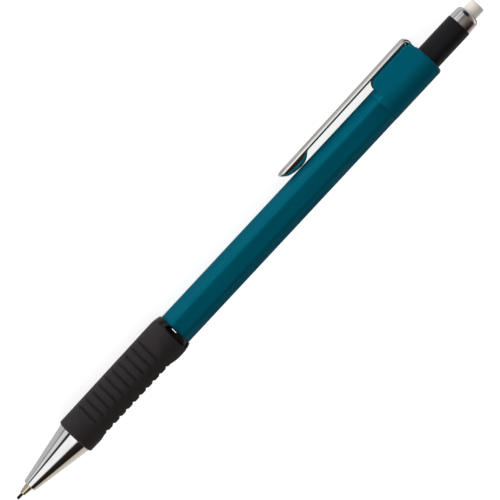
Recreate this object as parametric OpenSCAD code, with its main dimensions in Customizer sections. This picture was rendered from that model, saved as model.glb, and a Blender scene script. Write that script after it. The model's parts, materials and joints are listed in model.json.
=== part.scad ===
// Push-button mechanical pencil with a ribbed rubber grip and a twist-out eraser.
// Each piece is drawn on a bench axis: z runs from the lead point at 0 to the eraser end,
// and +x points to the clip. place() lays the pencil down on its grip and its clip.

/* [Lengths along the axis] */
// Bare lead in front of the nozzle
point_length = 1.5; // [0.5:0.1:3]
// Nozzle that shows in front of the cone, and how far it can be pushed in
nozzle_length = 2.3; // [1.6:0.1:2.8]
// Metal cone between nozzle and grip
cone_length = 14.7; // [13.5:0.1:18]
// Grip with the collar behind it
grip_length = 32.2; // [30:0.1:38]
// Rounded shoulder at the rear of the grip
shoulder_length = 3; // [2:0.1:4]
// Glossy collar that ends the shoulder
collar_length = 1.5; // [1:0.1:1.9]
// Hexagonal barrel between collar and clip housing
barrel_length = 66.7; // [63:0.1:80]
// Clip housing
housing_length = 14.6; // [13.5:0.1:18]
// Twist sleeve that shows behind the housing
knob_length = 9.9; // [8:0.1:14]
// Ferrule round the eraser
ferrule_length = 3.4; // [3:0.1:5]
// Eraser that shows behind the ferrule, and how far it can be drawn in
eraser_length = 2.7; // [1:0.1:5]

/* [Outside diameters] */
// Lead
lead_d = 0.7; // [0.5:0.1:0.9]
// Nozzle at its mouth
nozzle_mouth_d = 1.26; // [1.1:0.02:1.5]
// Nozzle where it leaves the cone
nozzle_d = 2; // [1.7:0.05:2.3]
// Cone at its front face
cone_front_d = 3.15; // [2.9:0.05:3.6]
// Cone at the grip
cone_rear_d = 8.4; // [7.8:0.1:9]
// Grip at its front end
grip_front_d = 9.3; // [8.8:0.1:10]
// Grip at its rear bulge
grip_rear_d = 9.7; // [9.2:0.1:10.4]
// Collar where it meets the barrel
collar_d = 8.45; // [8.3:0.05:9]
// Barrel across its flats
barrel_flats = 7.5; // [7.3:0.05:8]
// Barrel across its rounded edges, and the round clip housing
barrel_edges = 8.2; // [7.9:0.05:9]
// Twist sleeve
knob_d = 6.1; // [6:0.05:6.2]
// Ferrule at its front edge
ferrule_d = 6; // [5.9:0.05:6.2]
// Eraser stick
eraser_d = 3.6; // [3.2:0.1:3.7]

/* [Ribbed grip] */
// Distance from the axis to the ribs of a panel
panel_offset = 4.36; // [4.2:0.02:4.5]
// Radius of the curve across a panel
panel_curve = 8.5; // [6:0.5:14]
// Grooves in each panel
groove_count = 10; // [6:1:11]
// Spacing of the grooves
groove_pitch = 2.12; // [1.8:0.02:2.2]
// Width of a groove
groove_width = 0.8; // [0.4:0.05:1.2]
// Depth of a groove
groove_depth = 0.28; // [0.1:0.02:0.36]
// Smooth rubber in front of the first groove
panel_lead_in = 5.8; // [5:0.1:7]
// Run-out of a panel into the round rubber
panel_ramp = 2.4; // [1:0.1:3]

/* [Clip] */
// Distance from the axis to the outer face, at the bend
clip_reach = 6.92; // [6.8:0.02:7.6]
// How much closer the free end lies
clip_lean_depth = 0.45; // [0:0.05:0.6]
// Thickness of the strip
clip_thickness = 0.75; // [0.6:0.05:0.85]
// Width of the strip
clip_width = 3.6; // [3.2:0.1:4.2]
// Length from the bend to the free end
clip_length = 41.1; // [36:0.1:46]
// Outer radius of the bend
clip_bend_r = 1.3; // [1.2:0.05:1.5]
// Length of the keel that is pressed into the free end
keel_length = 7.9; // [6:0.1:10]
// Thickness of the free end's tip
tip_thickness = 0.35; // [0.2:0.05:0.5]
// Length of the tongue that sits in the housing
tongue_length = 2.2; // [1.5:0.1:3]
// Width of the tongue
tongue_width = 2.6; // [2:0.1:2.8]

/* [Mechanism] */
// Travel of the push button
push_travel = 3.5; // [2.5:0.1:3.8]
// Travel of the clutch ring
ring_travel = 0.7; // [0.4:0.1:1]
// Length of the clutch ring
ring_length = 2.5; // [2:0.1:3]
// Diameter of the clutch ring
ring_d = 4.4; // [4.2:0.05:4.6]
// Diameter of the chuck's head
chuck_head_d = 3.5; // [3.3:0.05:3.6]
// Diameter of the chuck's stem
chuck_stem_d = 2.3; // [2.1:0.05:2.4]
// Width of the slits between the chuck's jaws
chuck_slit = 0.25; // [0.15:0.05:0.4]
// Length of the return spring at rest
spring_length = 8.4; // [8:0.1:10]
// Turns of the return spring
spring_turns = 9; // [6:1:10]
// Wire of the return spring
spring_wire = 0.28; // [0.2:0.02:0.34]
// Diameter of the lead reservoir
reservoir_d = 3.9; // [3.8:0.05:4.1]
// Wall of the lead reservoir
reservoir_wall = 0.4; // [0.3:0.05:0.5]
// Length of a new lead
lead_length = 60; // [50:1:66]
// Spare leads in the reservoir
spare_count = 3; // [1:1:4]
// Outward travel of the eraser
eraser_travel = 15; // [8:0.5:16]
// Advance of the spiral groove that drives the eraser, per turn
spiral_lead = 7.5; // [6:0.1:10]
// Pin of the eraser carrier
carrier_pin_d = 0.8; // [0.6:0.05:1]

/* [Walls] */
// Clutch sleeve
sleeve_wall = 0.25; // [0.2:0.05:0.3]
// Threaded neck of the cone
neck_wall = 0.52; // [0.4:0.02:0.6]
// Grip core round that neck
core_wall = 0.62; // [0.5:0.02:0.7]
// Barrel, from its bore to its flats
barrel_wall = 0.55; // [0.45:0.05:0.6]
// Ferrule
ferrule_wall = 0.2; // [0.16:0.02:0.24]
// Eraser carrier
carrier_wall = 0.2; // [0.15:0.05:0.25]
// Guide tube of the eraser
guide_wall = 0.28; // [0.24:0.02:0.3]

/* [Clearances] */
// Round a piece that is pressed or screwed home
fit_gap = 0.03; // [0.02:0.01:0.05]
// Round a piece that slides or turns
slide_gap = 0.08; // [0.05:0.01:0.1]
// Between the ends of pieces
end_gap = 0.1; // [0.05:0.05:0.2]

/* [Resting place] */
// Angle of the clip below the horizontal
lie_angle = 30; // [20:1:40]

/* [Hidden] */
$fn = 64;

// Overshoot of a cutting tool past the face it cuts
over = 0.2;
// Steps of a rounded stretch in an outline
round_steps = 6;

// Plays of the lead, the chuck's cone, the clip's tongue, the strip over the lug, the keel
lead_play = 0.05;
wedge_play = 0.06;
tongue_play = 0.12;
strip_play = 0.1;
keel_play = 0.06;
// Free room behind the spare leads, and round the flange of the eraser unit
spare_room = 5;
unit_play = 0.3;

// Stations along the axis
z_nozzle = point_length;
z_cone = z_nozzle + nozzle_length;
z_grip = z_cone + cone_length;
z_barrel = z_grip + grip_length;
z_collar = z_barrel - collar_length;
z_housing = z_barrel + barrel_length;
z_knob = z_housing + housing_length;
z_ferrule = z_knob + knob_length;
z_eraser = z_ferrule + ferrule_length;
z_end = z_eraser + eraser_length;

// Radii from the lead outwards
lead_r = lead_d / 2;
lead_bore = lead_r + lead_play;
reservoir_r = reservoir_d / 2;
reservoir_bore = reservoir_r - reservoir_wall;
sleeve_bore = reservoir_r + slide_gap;
sleeve_r = sleeve_bore + sleeve_wall;
neck_bore = sleeve_r + fit_gap;
neck_r = neck_bore + neck_wall;
core_bore = neck_r + fit_gap;
core_r = core_bore + core_wall;
barrel_bore = barrel_flats / 2 - barrel_wall;
barrel_r = barrel_edges / 2;
edge_round = (barrel_flats / 2 / cos(30) - barrel_r) / (1 / cos(30) - 1);
edge_centre = barrel_r - edge_round;
plug_r = reservoir_bore - fit_gap;

// Radii of the eraser unit, from the eraser outwards
carrier_bore = eraser_d / 2 + fit_gap;
carrier_r = carrier_bore + carrier_wall;
guide_bore = carrier_r + slide_gap;
guide_r = guide_bore + guide_wall;
knob_bore = guide_r + slide_gap;
knob_r = knob_d / 2;

// Chuck, clutch ring and nozzle, seated from the rear face of the cone
ring_z = z_grip - ring_length;
ring_stop_z = ring_z - ring_travel - end_gap;
chuck_nose = 1.5;
chuck_land = 0.7;
chuck_z = ring_z - chuck_nose;
chuck_taper_stop = 0.5;
chuck_taper_z = z_grip - chuck_taper_stop;
chuck_front_z = chuck_z - push_travel;
flange_length = 1.5;
flange_lip = 0.4;
flange_end_z = chuck_front_z - nozzle_length - 1.5 * end_gap;
flange_z = flange_end_z - flange_length;
flange_r = nozzle_d / 2 + flange_lip;
retainer_length = 1.1;
retainer_wall = 0.1;
retainer_r = nozzle_d / 2 - retainer_wall;

// Neck of the cone, clutch sleeve, spring and connector
neck_length = 6.5;
neck_end_z = z_grip + neck_length;
sleeve_z = z_grip + end_gap / 2;
sleeve_front = 0.9;
sleeve_length = 17.4;
sleeve_flange = 1.4;
spring_seat_z = sleeve_z + sleeve_front;
connector_z = spring_seat_z + spring_length + end_gap;
connector_body = 4;
connector_plug = 5;
connector_end_z = connector_z + connector_body + connector_plug;
stem_depth = 3.6;
stem_end_z = connector_z + stem_depth;
reservoir_z = connector_z + connector_body + end_gap / 2;

// Eraser unit, seated from the front face of the clip housing
unit_depth = 7.4;
unit_z = z_housing - unit_depth;
unit_flange = 1.5;
unit_plug = unit_z - connector_end_z - lead_length - spare_room;
unit_floor_z = unit_z + unit_flange;
reservoir_end_z = unit_z - end_gap / 2;
twist_z = unit_floor_z + end_gap;
ferrule_taper = 0.1;
knob_neck_r = ferrule_d / 2 - ferrule_taper - ferrule_wall - fit_gap;
knob_neck_length = 2;
knob_neck_end_z = z_ferrule + knob_neck_length;
guide_setback = 0.5;
guide_end_z = knob_neck_end_z - guide_setback;
carrier_floor = 1.2;
carrier_length = 7.5;
carrier_rest = 4.25;
carrier_z = unit_floor_z + eraser_length + carrier_rest;
pin_z = carrier_z + carrier_floor / 2;
pin_bite = 0.27;
pin_tip_r = knob_bore + pin_bite;
spiral_r = pin_tip_r + slide_gap;
slot_width = carrier_pin_d + 2 * slide_gap;

// Seats of core, barrel and housing
core_plug = 11;
seat_length = 5.6;
seat_wall = 0.55;
seat_r = knob_r + seat_wall;
housing_bore = knob_r + slide_gap;
housing_rim = 0.75;

// Clip, drawn upright before it leans in about the centre of its bend
clip_setback = 0.2;
clip_end_z = z_knob - clip_setback;
clip_bend_z = clip_end_z - clip_bend_r;
clip_free_z = clip_end_z - clip_length;
clip_run = clip_bend_z - clip_free_z;
clip_bend_in_r = clip_bend_r - clip_thickness;
clip_pivot_r = clip_reach - clip_bend_r;
clip_root_r = clip_reach - clip_thickness;
clip_angle = atan(clip_lean_depth / clip_run);
tongue_in_r = clip_pivot_r - clip_bend_r;
keel_z = clip_free_z + keel_length / 2;
keel_axis_r = clip_root_r + tip_thickness;
keel_drop = keel_axis_r - clip_lean_depth * (clip_bend_z - keel_z) / clip_run - barrel_r - keel_play;

// Lug that carries the clip
lug_start = 1.5;
lug_z = z_housing + lug_start;
lug_setback = 0.4;
lug_end_z = z_knob - lug_setback;
lug_half = clip_width / 2;
lug_top_r = clip_root_r - clip_lean_depth * (clip_bend_z - lug_z) / clip_run - strip_play;
lug_root = 0.2;
lug_nose = lug_top_r - barrel_r + lug_root;
ledge_z = clip_bend_z + (clip_bend_in_r - strip_play) / 2;

// Height and sideways shift of the axis at rest
clip_low = clip_reach * sin(lie_angle) + clip_width / 2 * cos(lie_angle);
clip_side = clip_reach * cos(lie_angle) + clip_width / 2 * sin(lie_angle);
rest_height = max(grip_rear_d / 2, clip_low);
side_shift = (clip_side - grip_rear_d / 2) / 2;

// Points of an arc in an outline, by its centre, its radius and two angles
function arc(x, y, r, from, to) =
    [for (i = [0 : round_steps])
        let (a = from + (to - from) * i / round_steps)
        [x + r * cos(a), y + r * sin(a)]];

// Points of the grip's rounded shoulder between two stations, a quarter of an ellipse
function shoulder(from, to) =
    [for (i = [0 : round_steps])
        let (z = from + (to - from) * i / round_steps, s = 1 - (z_barrel - z) / shoulder_length)
        [collar_d / 2 + (grip_rear_d - collar_d) / 2 * sqrt(max(0, 1 - s * s)), z]];

// Lays the bench axis along X, point to +X, clip towards -Y and down
module place() {
    translate([z_end / 2, side_shift, rest_height])
        rotate([90 + lie_angle, 0, 0])
            rotate([0, -90, 0])
                children();
}

// A turned solid from its half outline
module turned(points) {
    rotate_extrude()
        polygon(points);
}

// A round rod between two stations
module rod(from, to, r) {
    translate([0, 0, from])
        cylinder(h = to - from, r = r);
}

// An outline in the clip's plane, drawn as [distance from axis, z] and given a width
module across(width, points) {
    rotate([90, 0, 0])
        linear_extrude(height = width, center = true)
            polygon(points);
}

// A closed tube swept through rings of points
module swept(rings) {
    sides = len(rings[0]);
    last = (len(rings) - 1) * sides;
    walls = [for (i = [0 : len(rings) - 2], j = [0 : sides - 1], upper = [false, true])
        let (a = i * sides + j, b = i * sides + (j + 1) % sides)
        upper ? [a, b + sides, a + sides] : [a, b, b + sides]];
    front = [for (j = [1 : sides - 2]) [0, j + 1, j]];
    back = [for (j = [1 : sides - 2]) [last, last + j, last + j + 1]];
    polyhedron([for (ring = rings) each ring], concat(walls, front, back));
}

// Graphite lead in use, with a worn point
module lead() {
    point_r = lead_r * 0.7;
    point_wear = lead_r * 0.5;
    place()
        color("#2a2a2c")
            turned([[0, 0], [point_r, 0], [lead_r, point_wear], [lead_r, lead_length], [0, lead_length]]);
}

// Spare leads against the wall of the reservoir
module spare_leads() {
    spare_circle = reservoir_bore - lead_r - fit_gap;
    place()
        color("#2a2a2c")
            for (i = [0 : spare_count - 1])
                rotate(360 * i / spare_count)
                    translate([spare_circle, 0, connector_end_z + end_gap])
                        cylinder(h = lead_length, r = lead_r);
}

// Nozzle: tapered mouth, shank in the cone, a flange that keeps it there and a rear pocket
module tip_nozzle() {
    mouth_r = nozzle_mouth_d / 2;
    shank_r = nozzle_d / 2;
    pocket_z = flange_end_z - retainer_length - end_gap;
    place()
        color("#c9bd94")
            turned([[lead_bore, z_nozzle], [mouth_r, z_nozzle], [shank_r, z_cone], [shank_r, flange_z],
                    [flange_r, flange_z], [flange_r, flange_end_z], [retainer_r, flange_end_z],
                    [retainer_r, pocket_z], [lead_bore, pocket_z]]);
}

// Rubber ring in the nozzle's pocket that keeps the lead from falling out
module lead_retainer() {
    waist_r = lead_r + fit_gap;
    mouth_r = waist_r + 0.1;
    front_z = flange_end_z - retainer_length - end_gap / 2;
    back_z = front_z + retainer_length;
    outer_r = retainer_r - fit_gap;
    place()
        color("#3a3a3a")
            turned([[mouth_r, front_z], [outer_r, front_z], [outer_r, back_z], [mouth_r, back_z],
                    [waist_r, (front_z + back_z) / 2]]);
}

// Chromed cone, bored in steps for nozzle, chuck and ring, with a neck that screws into the core
module tip_cone() {
    front_edge = 0.3;
    shank_bore = nozzle_d / 2 + slide_gap;
    flange_bore = flange_r + slide_gap;
    head_bore = chuck_head_d / 2 + 1.5 * slide_gap;
    ring_bore = ring_d / 2 + slide_gap;
    flange_seat_z = flange_z - end_gap / 2;
    head_seat_z = chuck_front_z - end_gap;
    place()
        color("#d6d8da")
            turned(concat([[shank_bore, z_cone]],
                          arc(cone_front_d / 2 - front_edge, z_cone + front_edge, front_edge, -90, -10),
                          [[cone_rear_d / 2, z_grip], [neck_r, z_grip], [neck_r, neck_end_z],
                           [neck_bore, neck_end_z], [neck_bore, z_grip], [ring_bore, z_grip],
                           [ring_bore, ring_stop_z], [head_bore, ring_stop_z], [head_bore, head_seat_z],
                           [flange_bore, head_seat_z], [flange_bore, flange_seat_z],
                           [shank_bore, flange_seat_z]]));
}

// Brass ring whose cone closes the chuck's jaws
module clutch_ring() {
    land_z = chuck_z + chuck_land;
    slope = (chuck_head_d - chuck_stem_d) / 2 / (chuck_taper_z - land_z);
    front_bore = chuck_head_d / 2 - slope * (ring_z - land_z) + wedge_play;
    rear_bore = chuck_stem_d / 2 + wedge_play;
    place()
        color("#b8923c")
            turned([[front_bore, ring_z], [ring_d / 2, ring_z], [ring_d / 2, z_grip], [rear_bore, z_grip],
                    [rear_bore, chuck_taper_z]]);
}

// Brass chuck: three jaws, a tapered head and a long stem
module chuck() {
    head_r = chuck_head_d / 2;
    stem_r = chuck_stem_d / 2;
    lip = chuck_land / 2;
    relief_bore = lead_r + 4 * lead_play;
    jaw_end_z = chuck_z + 3;
    slit_length = 10;
    place()
        color("#b8923c")
            difference() {
                turned([[lead_bore, chuck_z], [head_r - lip, chuck_z], [head_r, chuck_z + lip],
                        [head_r, chuck_z + chuck_land], [stem_r, chuck_taper_z], [stem_r, stem_end_z],
                        [relief_bore, stem_end_z], [relief_bore, jaw_end_z], [lead_bore, jaw_end_z]]);
                for (a = [30, 150, 270])
                    rotate(a)
                        translate([0, -chuck_slit / 2, chuck_z - over])
                            cube([head_r + over, chuck_slit, slit_length + over]);
            }
}

// Steel spring that draws the chuck back into its ring
module return_spring() {
    wire_r = spring_wire / 2;
    coil_r = chuck_stem_d / 2 + 2.5 * slide_gap + wire_r;
    low_z = spring_seat_z + end_gap / 2 + wire_r;
    rise = connector_z - end_gap / 2 - wire_r - low_z;
    turn_steps = 8;
    turn = 360 / turn_steps;
    steps = spring_turns * turn_steps;
    slope = atan(rise / spring_turns / (2 * PI * coil_r));
    path = [for (i = [0 : steps]) [coil_r * cos(turn * i), coil_r * sin(turn * i), low_z + rise * i / steps]];
    rings = [for (i = [0 : steps])
        [for (b = [0 : 60 : 300])
            let (out = wire_r * cos(b), up = wire_r * sin(b))
            path[i] + [out * cos(turn * i) + up * sin(slope) * sin(turn * i),
                       out * sin(turn * i) - up * sin(slope) * cos(turn * i),
                       up * cos(slope)]]];
    echo(return_spring_least_gap = min([for (i = [turn_steps : steps]) norm(path[i] - path[i - turn_steps])])
         - spring_wire);
    place()
        color("#9a9ea2")
            swept(rings);
}

// Brass sleeve round the spring, held by its flange between cone and grip core
module clutch_sleeve() {
    stem_bore = chuck_stem_d / 2 + slide_gap;
    flange_back_z = neck_end_z + sleeve_flange;
    back_z = sleeve_z + sleeve_length;
    place()
        color("#b8923c")
            turned([[stem_bore, sleeve_z], [sleeve_r, sleeve_z], [sleeve_r, neck_end_z], [neck_r, neck_end_z],
                    [neck_r, flange_back_z], [sleeve_r, flange_back_z], [sleeve_r, back_z],
                    [sleeve_bore, back_z], [sleeve_bore, spring_seat_z], [stem_bore, spring_seat_z]]);
}

// Plastic bush that joins the chuck to the reservoir, with a funnel for the next lead
module chuck_connector() {
    stem_bore = chuck_stem_d / 2 + fit_gap;
    body_r = reservoir_r - 2.5 * slide_gap;
    lead_way = lead_r + 6 * lead_play;
    funnel_r = plug_r - 0.2;
    funnel_depth = 2;
    shoulder_z = connector_z + connector_body;
    stem_floor_z = stem_end_z + fit_gap;
    place()
        color("#d9d6cc")
            turned([[stem_bore, connector_z], [body_r, connector_z], [body_r, shoulder_z],
                    [plug_r, shoulder_z], [plug_r, connector_end_z], [funnel_r, connector_end_z],
                    [lead_way, connector_end_z - funnel_depth], [lead_way, stem_floor_z],
                    [stem_bore, stem_floor_z]]);
}

// Plastic tube that stores spare leads and passes the push on
module lead_reservoir() {
    place()
        color("#d9d6cc")
            difference() {
                rod(reservoir_z, reservoir_end_z, reservoir_r);
                rod(reservoir_z - over, reservoir_end_z + over, reservoir_bore);
            }
}

// Black core under the rubber: takes the cone in front, shows a collar, plugs into the barrel
module grip_core() {
    flange_seat_z = neck_end_z + sleeve_flange;
    back_z = z_barrel + core_plug;
    back_r = barrel_bore - fit_gap;
    back_bore = sleeve_r + fit_gap;
    place()
        color("#141416")
            turned(concat([[core_bore, z_grip], [core_r, z_grip], [core_r, z_collar]],
                          shoulder(z_collar, z_barrel),
                          [[back_r, z_barrel], [back_r, back_z], [back_bore, back_z],
                           [back_bore, flange_seat_z], [core_bore, flange_seat_z]]));
}

// Rubber grip: three ribbed panels let into a slightly tapered round body
module grip_sleeve() {
    front_edge = 0.5;
    bore = core_r + fit_gap;
    place()
        color("#2b292b")
            difference() {
                turned(concat([[bore, z_grip]],
                              arc(grip_front_d / 2 - front_edge, z_grip + front_edge, front_edge, -90, 0),
                              shoulder(z_barrel - shoulder_length, z_collar), [[bore, z_collar]]));
                for (a = [60, 180, 300])
                    rotate(a)
                        panel_cut();
            }
}

// What a ribbed panel takes off the round rubber: all that lies outside a grooved, wider round
module panel_cut() {
    first_z = z_grip + panel_lead_in;
    last_z = first_z + (groove_count - 1) * groove_pitch;
    start_z = first_z - groove_pitch / 2 - panel_ramp;
    stop_z = last_z + groove_pitch / 2 + panel_ramp;
    clear_r = panel_curve + max(grip_front_d, grip_rear_d) / 2 - panel_offset + 0.05;
    grooves = [for (i = [0 : groove_count - 1], side = [-1, 0, 1])
        [panel_curve - (side == 0 ? groove_depth : 0), first_z + i * groove_pitch + side * groove_width / 2]];
    translate([panel_offset - panel_curve, 0, 0])
        difference() {
            translate([0, -panel_curve, start_z])
                cube([clear_r + over, 2 * panel_curve, stop_z - start_z]);
            turned(concat([[0, start_z - over], [clear_r, start_z - over], [clear_r, start_z],
                           [panel_curve, start_z + panel_ramp]], grooves,
                          [[panel_curve, stop_z - panel_ramp], [clear_r, stop_z], [clear_r, stop_z + over],
                           [0, stop_z + over]]));
        }
}

// Hexagonal barrel with soft edges and a round seat for the clip housing
module barrel() {
    seat_end_z = z_housing + seat_length;
    place()
        color("#06626f")
            difference() {
                union() {
                    translate([0, 0, z_barrel])
                        linear_extrude(height = barrel_length)
                            polygon([for (edge = [0 : 60 : 300])
                                each arc(edge_centre * cos(edge), edge_centre * sin(edge), edge_round,
                                         edge - 30, edge + 30)]);
                    rod(z_housing - over, seat_end_z, seat_r);
                }
                rod(z_barrel - over, seat_end_z + over, barrel_bore);
            }
}

// Round housing whose flanks run up to a lug for the clip
module clip_housing() {
    seat_bore = seat_r + fit_gap;
    seat_floor_z = z_housing + seat_length + end_gap / 2;
    place()
        color("#06626f")
            difference() {
                union() {
                    turned(concat([[0, z_housing], [barrel_r, z_housing]],
                                  arc(barrel_r - housing_rim, z_knob - housing_rim, housing_rim, 0, 90),
                                  [[0, z_knob]]));
                    lug();
                }
                rod(z_housing - over, seat_floor_z, seat_bore);
                rod(seat_floor_z - over, z_knob + over, housing_bore);
                tongue_slot();
            }
}

// Lug of the clip housing: flanks tangent to the round body, a curved nose and a ledge for the bend
module lug() {
    corner = [lug_top_r, lug_half];
    tangent = atan(lug_half / lug_top_r) + acos(barrel_r / norm(corner));
    foot = barrel_r * [cos(tangent), sin(tangent)];
    nose_r = lug_top_r - lug_nose;
    ledge_r = clip_pivot_r - strip_play;
    intersection() {
        linear_extrude(height = z_end)
            polygon([[0, 0], [foot.x, -foot.y], [lug_top_r, -lug_half], corner, foot]);
        across(2 * barrel_r, concat([[0, lug_z]], arc(nose_r, lug_z + lug_nose, lug_nose, -90, 0),
                                    [[lug_top_r, ledge_z], [ledge_r, ledge_z], [ledge_r, lug_end_z],
                                     [0, lug_end_z]]));
    }
}

// Slot for the clip's tongue, open to the rear
module tongue_slot() {
    slot_z = clip_bend_z - tongue_length - tongue_play;
    slot_w = tongue_width + 2 * tongue_play;
    slot_r = tongue_in_r - tongue_play;
    translate([slot_r, -slot_w / 2, slot_z])
        cube([clip_thickness + 2 * tongue_play, slot_w, z_end - slot_z]);
    translate([slot_r, -slot_w / 2, ledge_z])
        cube([clip_reach, slot_w, z_end - ledge_z]);
}

// Steel clip: strip with a keel, hairpin bend and tongue, leaning in about the bend's centre
module clip() {
    place()
        color("#c8cacc")
            translate([clip_pivot_r, 0, clip_bend_z])
                rotate([0, clip_angle, 0])
                    translate([-clip_pivot_r, 0, -clip_bend_z])
                        difference() {
                            union() {
                                clip_strip();
                                intersection() {
                                    spindle(keel_length, keel_drop);
                                    translate([0, -clip_width / 2, clip_free_z])
                                        cube([clip_reach, clip_width, keel_length]);
                                }
                            }
                            spindle(keel_length - 2 * clip_thickness, keel_drop - clip_thickness);
                        }
}

// Bent strip with a rounded, thinned free end and a tongue that is shorter and narrower
module clip_strip() {
    half = clip_width / 2;
    tip_r = clip_reach - tip_thickness;
    tip_run = 1.2;
    side_trim = (clip_width - tongue_width) / 2 + over;
    leg_z = clip_free_z - over;
    tongue_z = clip_bend_z - tongue_length;
    difference() {
        intersection() {
            round_bar(clip_bend_r, clip_width, clip_free_z);
            union() {
                translate([0, 0, clip_free_z + half])
                    rotate([0, 90, 0])
                        cylinder(h = clip_reach + over, r = half);
                translate([0, -half, clip_free_z + half])
                    cube([clip_reach + over, clip_width, clip_length]);
            }
        }
        round_bar(clip_bend_in_r, clip_width + over, leg_z);
        translate([0, -clip_width, leg_z])
            cube([clip_pivot_r, 2 * clip_width, tongue_z - leg_z]);
        for (side = [-1, 1])
            translate([0, side * (tongue_width + side_trim) / 2 - side_trim / 2, leg_z])
                cube([clip_pivot_r, side_trim, clip_length + clip_bend_r]);
        across(clip_width + over, [[0, clip_free_z + tip_run], [clip_root_r, clip_free_z + tip_run],
                                   [tip_r, clip_free_z], [tip_r, leg_z], [0, leg_z]]);
    }
}

// A bar with a round rear end about the bend's centre, by half its depth
module round_bar(r, width, front_z) {
    translate([clip_pivot_r - r, -width / 2, front_z])
        cube([2 * r, width, clip_bend_z - front_z]);
    translate([clip_pivot_r, 0, clip_bend_z])
        rotate([90, 0, 0])
            cylinder(h = width, r = r, center = true);
}

// A lens turned about the keel's own line, by its length and its greatest radius
module spindle(length, r) {
    curve_r = (length * length / 4 + r * r) / (2 * r);
    half_angle = asin(length / 2 / curve_r);
    translate([keel_axis_r, 0, keel_z])
        turned(concat([[0, -length / 2]],
                      [for (i = [1 - round_steps : round_steps - 1]) let (a = half_angle * i / round_steps)
                       [curve_r * cos(a) - curve_r + r, curve_r * sin(a)]],
                      [[0, length / 2]]));
}

// Guide of the eraser: plug for the reservoir, flange and a slotted tube
module guide_tube() {
    flange_r = barrel_bore - unit_play;
    plug_z = unit_z - unit_plug;
    plug_chamfer = 0.3;
    slot_z = pin_z - eraser_length - slot_width;
    place()
        color("#2c2c2e")
            difference() {
                turned([[0, plug_z], [plug_r - plug_chamfer, plug_z], [plug_r, plug_z + plug_chamfer],
                        [plug_r, unit_z], [flange_r, unit_z], [flange_r, unit_floor_z],
                        [guide_r, unit_floor_z], [guide_r, guide_end_z], [guide_bore, guide_end_z],
                        [guide_bore, unit_floor_z], [0, unit_floor_z]]);
                translate([0, -slot_width / 2, slot_z])
                    cube([guide_r + over, slot_width, eraser_travel + eraser_length + 2 * slot_width]);
            }
}

// Black sleeve that is pushed and twisted, with a spiral groove inside
module twist_sleeve() {
    place()
        color("#1c1b20")
            difference() {
                turned([[knob_bore, twist_z], [knob_r, twist_z], [knob_r, z_ferrule],
                        [knob_neck_r, z_ferrule], [knob_neck_r, knob_neck_end_z],
                        [knob_bore, knob_neck_end_z]]);
                spiral_groove();
            }
}

// Right-handed groove that the carrier's pin follows
module spiral_groove() {
    ring_step = 15;
    end_turn = 45;
    half = carrier_pin_d / 2 + 2 * slide_gap;
    inner_r = knob_bore - over;
    low = -360 * eraser_length / spiral_lead - end_turn;
    high = 360 * eraser_travel / spiral_lead + end_turn;
    count = ceil((high - low) / ring_step);
    swept([for (i = [0 : count])
        let (a = low + (high - low) * i / count, z = pin_z + spiral_lead * a / 360)
        [for (p = [[inner_r, -half], [spiral_r, -half], [spiral_r, half], [inner_r, half]])
            [p.x * cos(a), p.x * sin(a), z + p.y]]]);
}

// Domed ferrule that closes the twist sleeve round the eraser
module end_ferrule() {
    front_r = ferrule_d / 2;
    dome_r = 1.1;
    dome_centre = front_r - ferrule_taper - dome_r;
    dome_z = z_eraser - dome_r;
    mouth_r = eraser_d / 2 + 1.5 * slide_gap;
    place()
        color("#d6d8da")
            turned(concat([[front_r - ferrule_wall, z_ferrule], [front_r, z_ferrule]],
                          arc(dome_centre, dome_z, dome_r, 0, 80),
                          [[mouth_r, z_eraser], [mouth_r, z_eraser - ferrule_wall]],
                          arc(dome_centre, dome_z, dome_r - ferrule_wall, 80, 0)));
}

// Cup that holds the eraser, with the pin that runs in slot and spiral
module eraser_carrier() {
    floor_z = carrier_z + carrier_floor;
    back_z = carrier_z + carrier_length;
    place()
        color("#d9d6cc") {
            turned([[0, carrier_z], [carrier_r, carrier_z], [carrier_r, back_z], [carrier_bore, back_z],
                    [carrier_bore, floor_z], [0, floor_z]]);
            translate([0, 0, pin_z])
                rotate([0, 90, 0])
                    cylinder(h = pin_tip_r, r = carrier_pin_d / 2);
        }
}

// Soft white eraser stick
module eraser() {
    r = eraser_d / 2;
    edge = 0.25;
    foot_z = carrier_z + carrier_floor + end_gap / 2;
    place()
        color("#dad6ca")
            turned(concat([[0, foot_z], [r, foot_z]],
                          arc(r - edge, z_end - edge, edge, 0, 90),
                          [[0, z_end]]));
}

lead();
spare_leads();
tip_nozzle();
lead_retainer();
tip_cone();
clutch_ring();
chuck();
return_spring();
clutch_sleeve();
chuck_connector();
lead_reservoir();
grip_core();
grip_sleeve();
barrel();
clip_housing();
clip();
guide_tube();
twist_sleeve();
end_ferrule();
eraser_carrier();
eraser();
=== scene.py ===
import functools
import json
import math

import bmesh
import bpy
from bpy.props import FloatProperty, FloatVectorProperty, IntProperty, PointerProperty
from mathutils import Matrix, Vector


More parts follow.
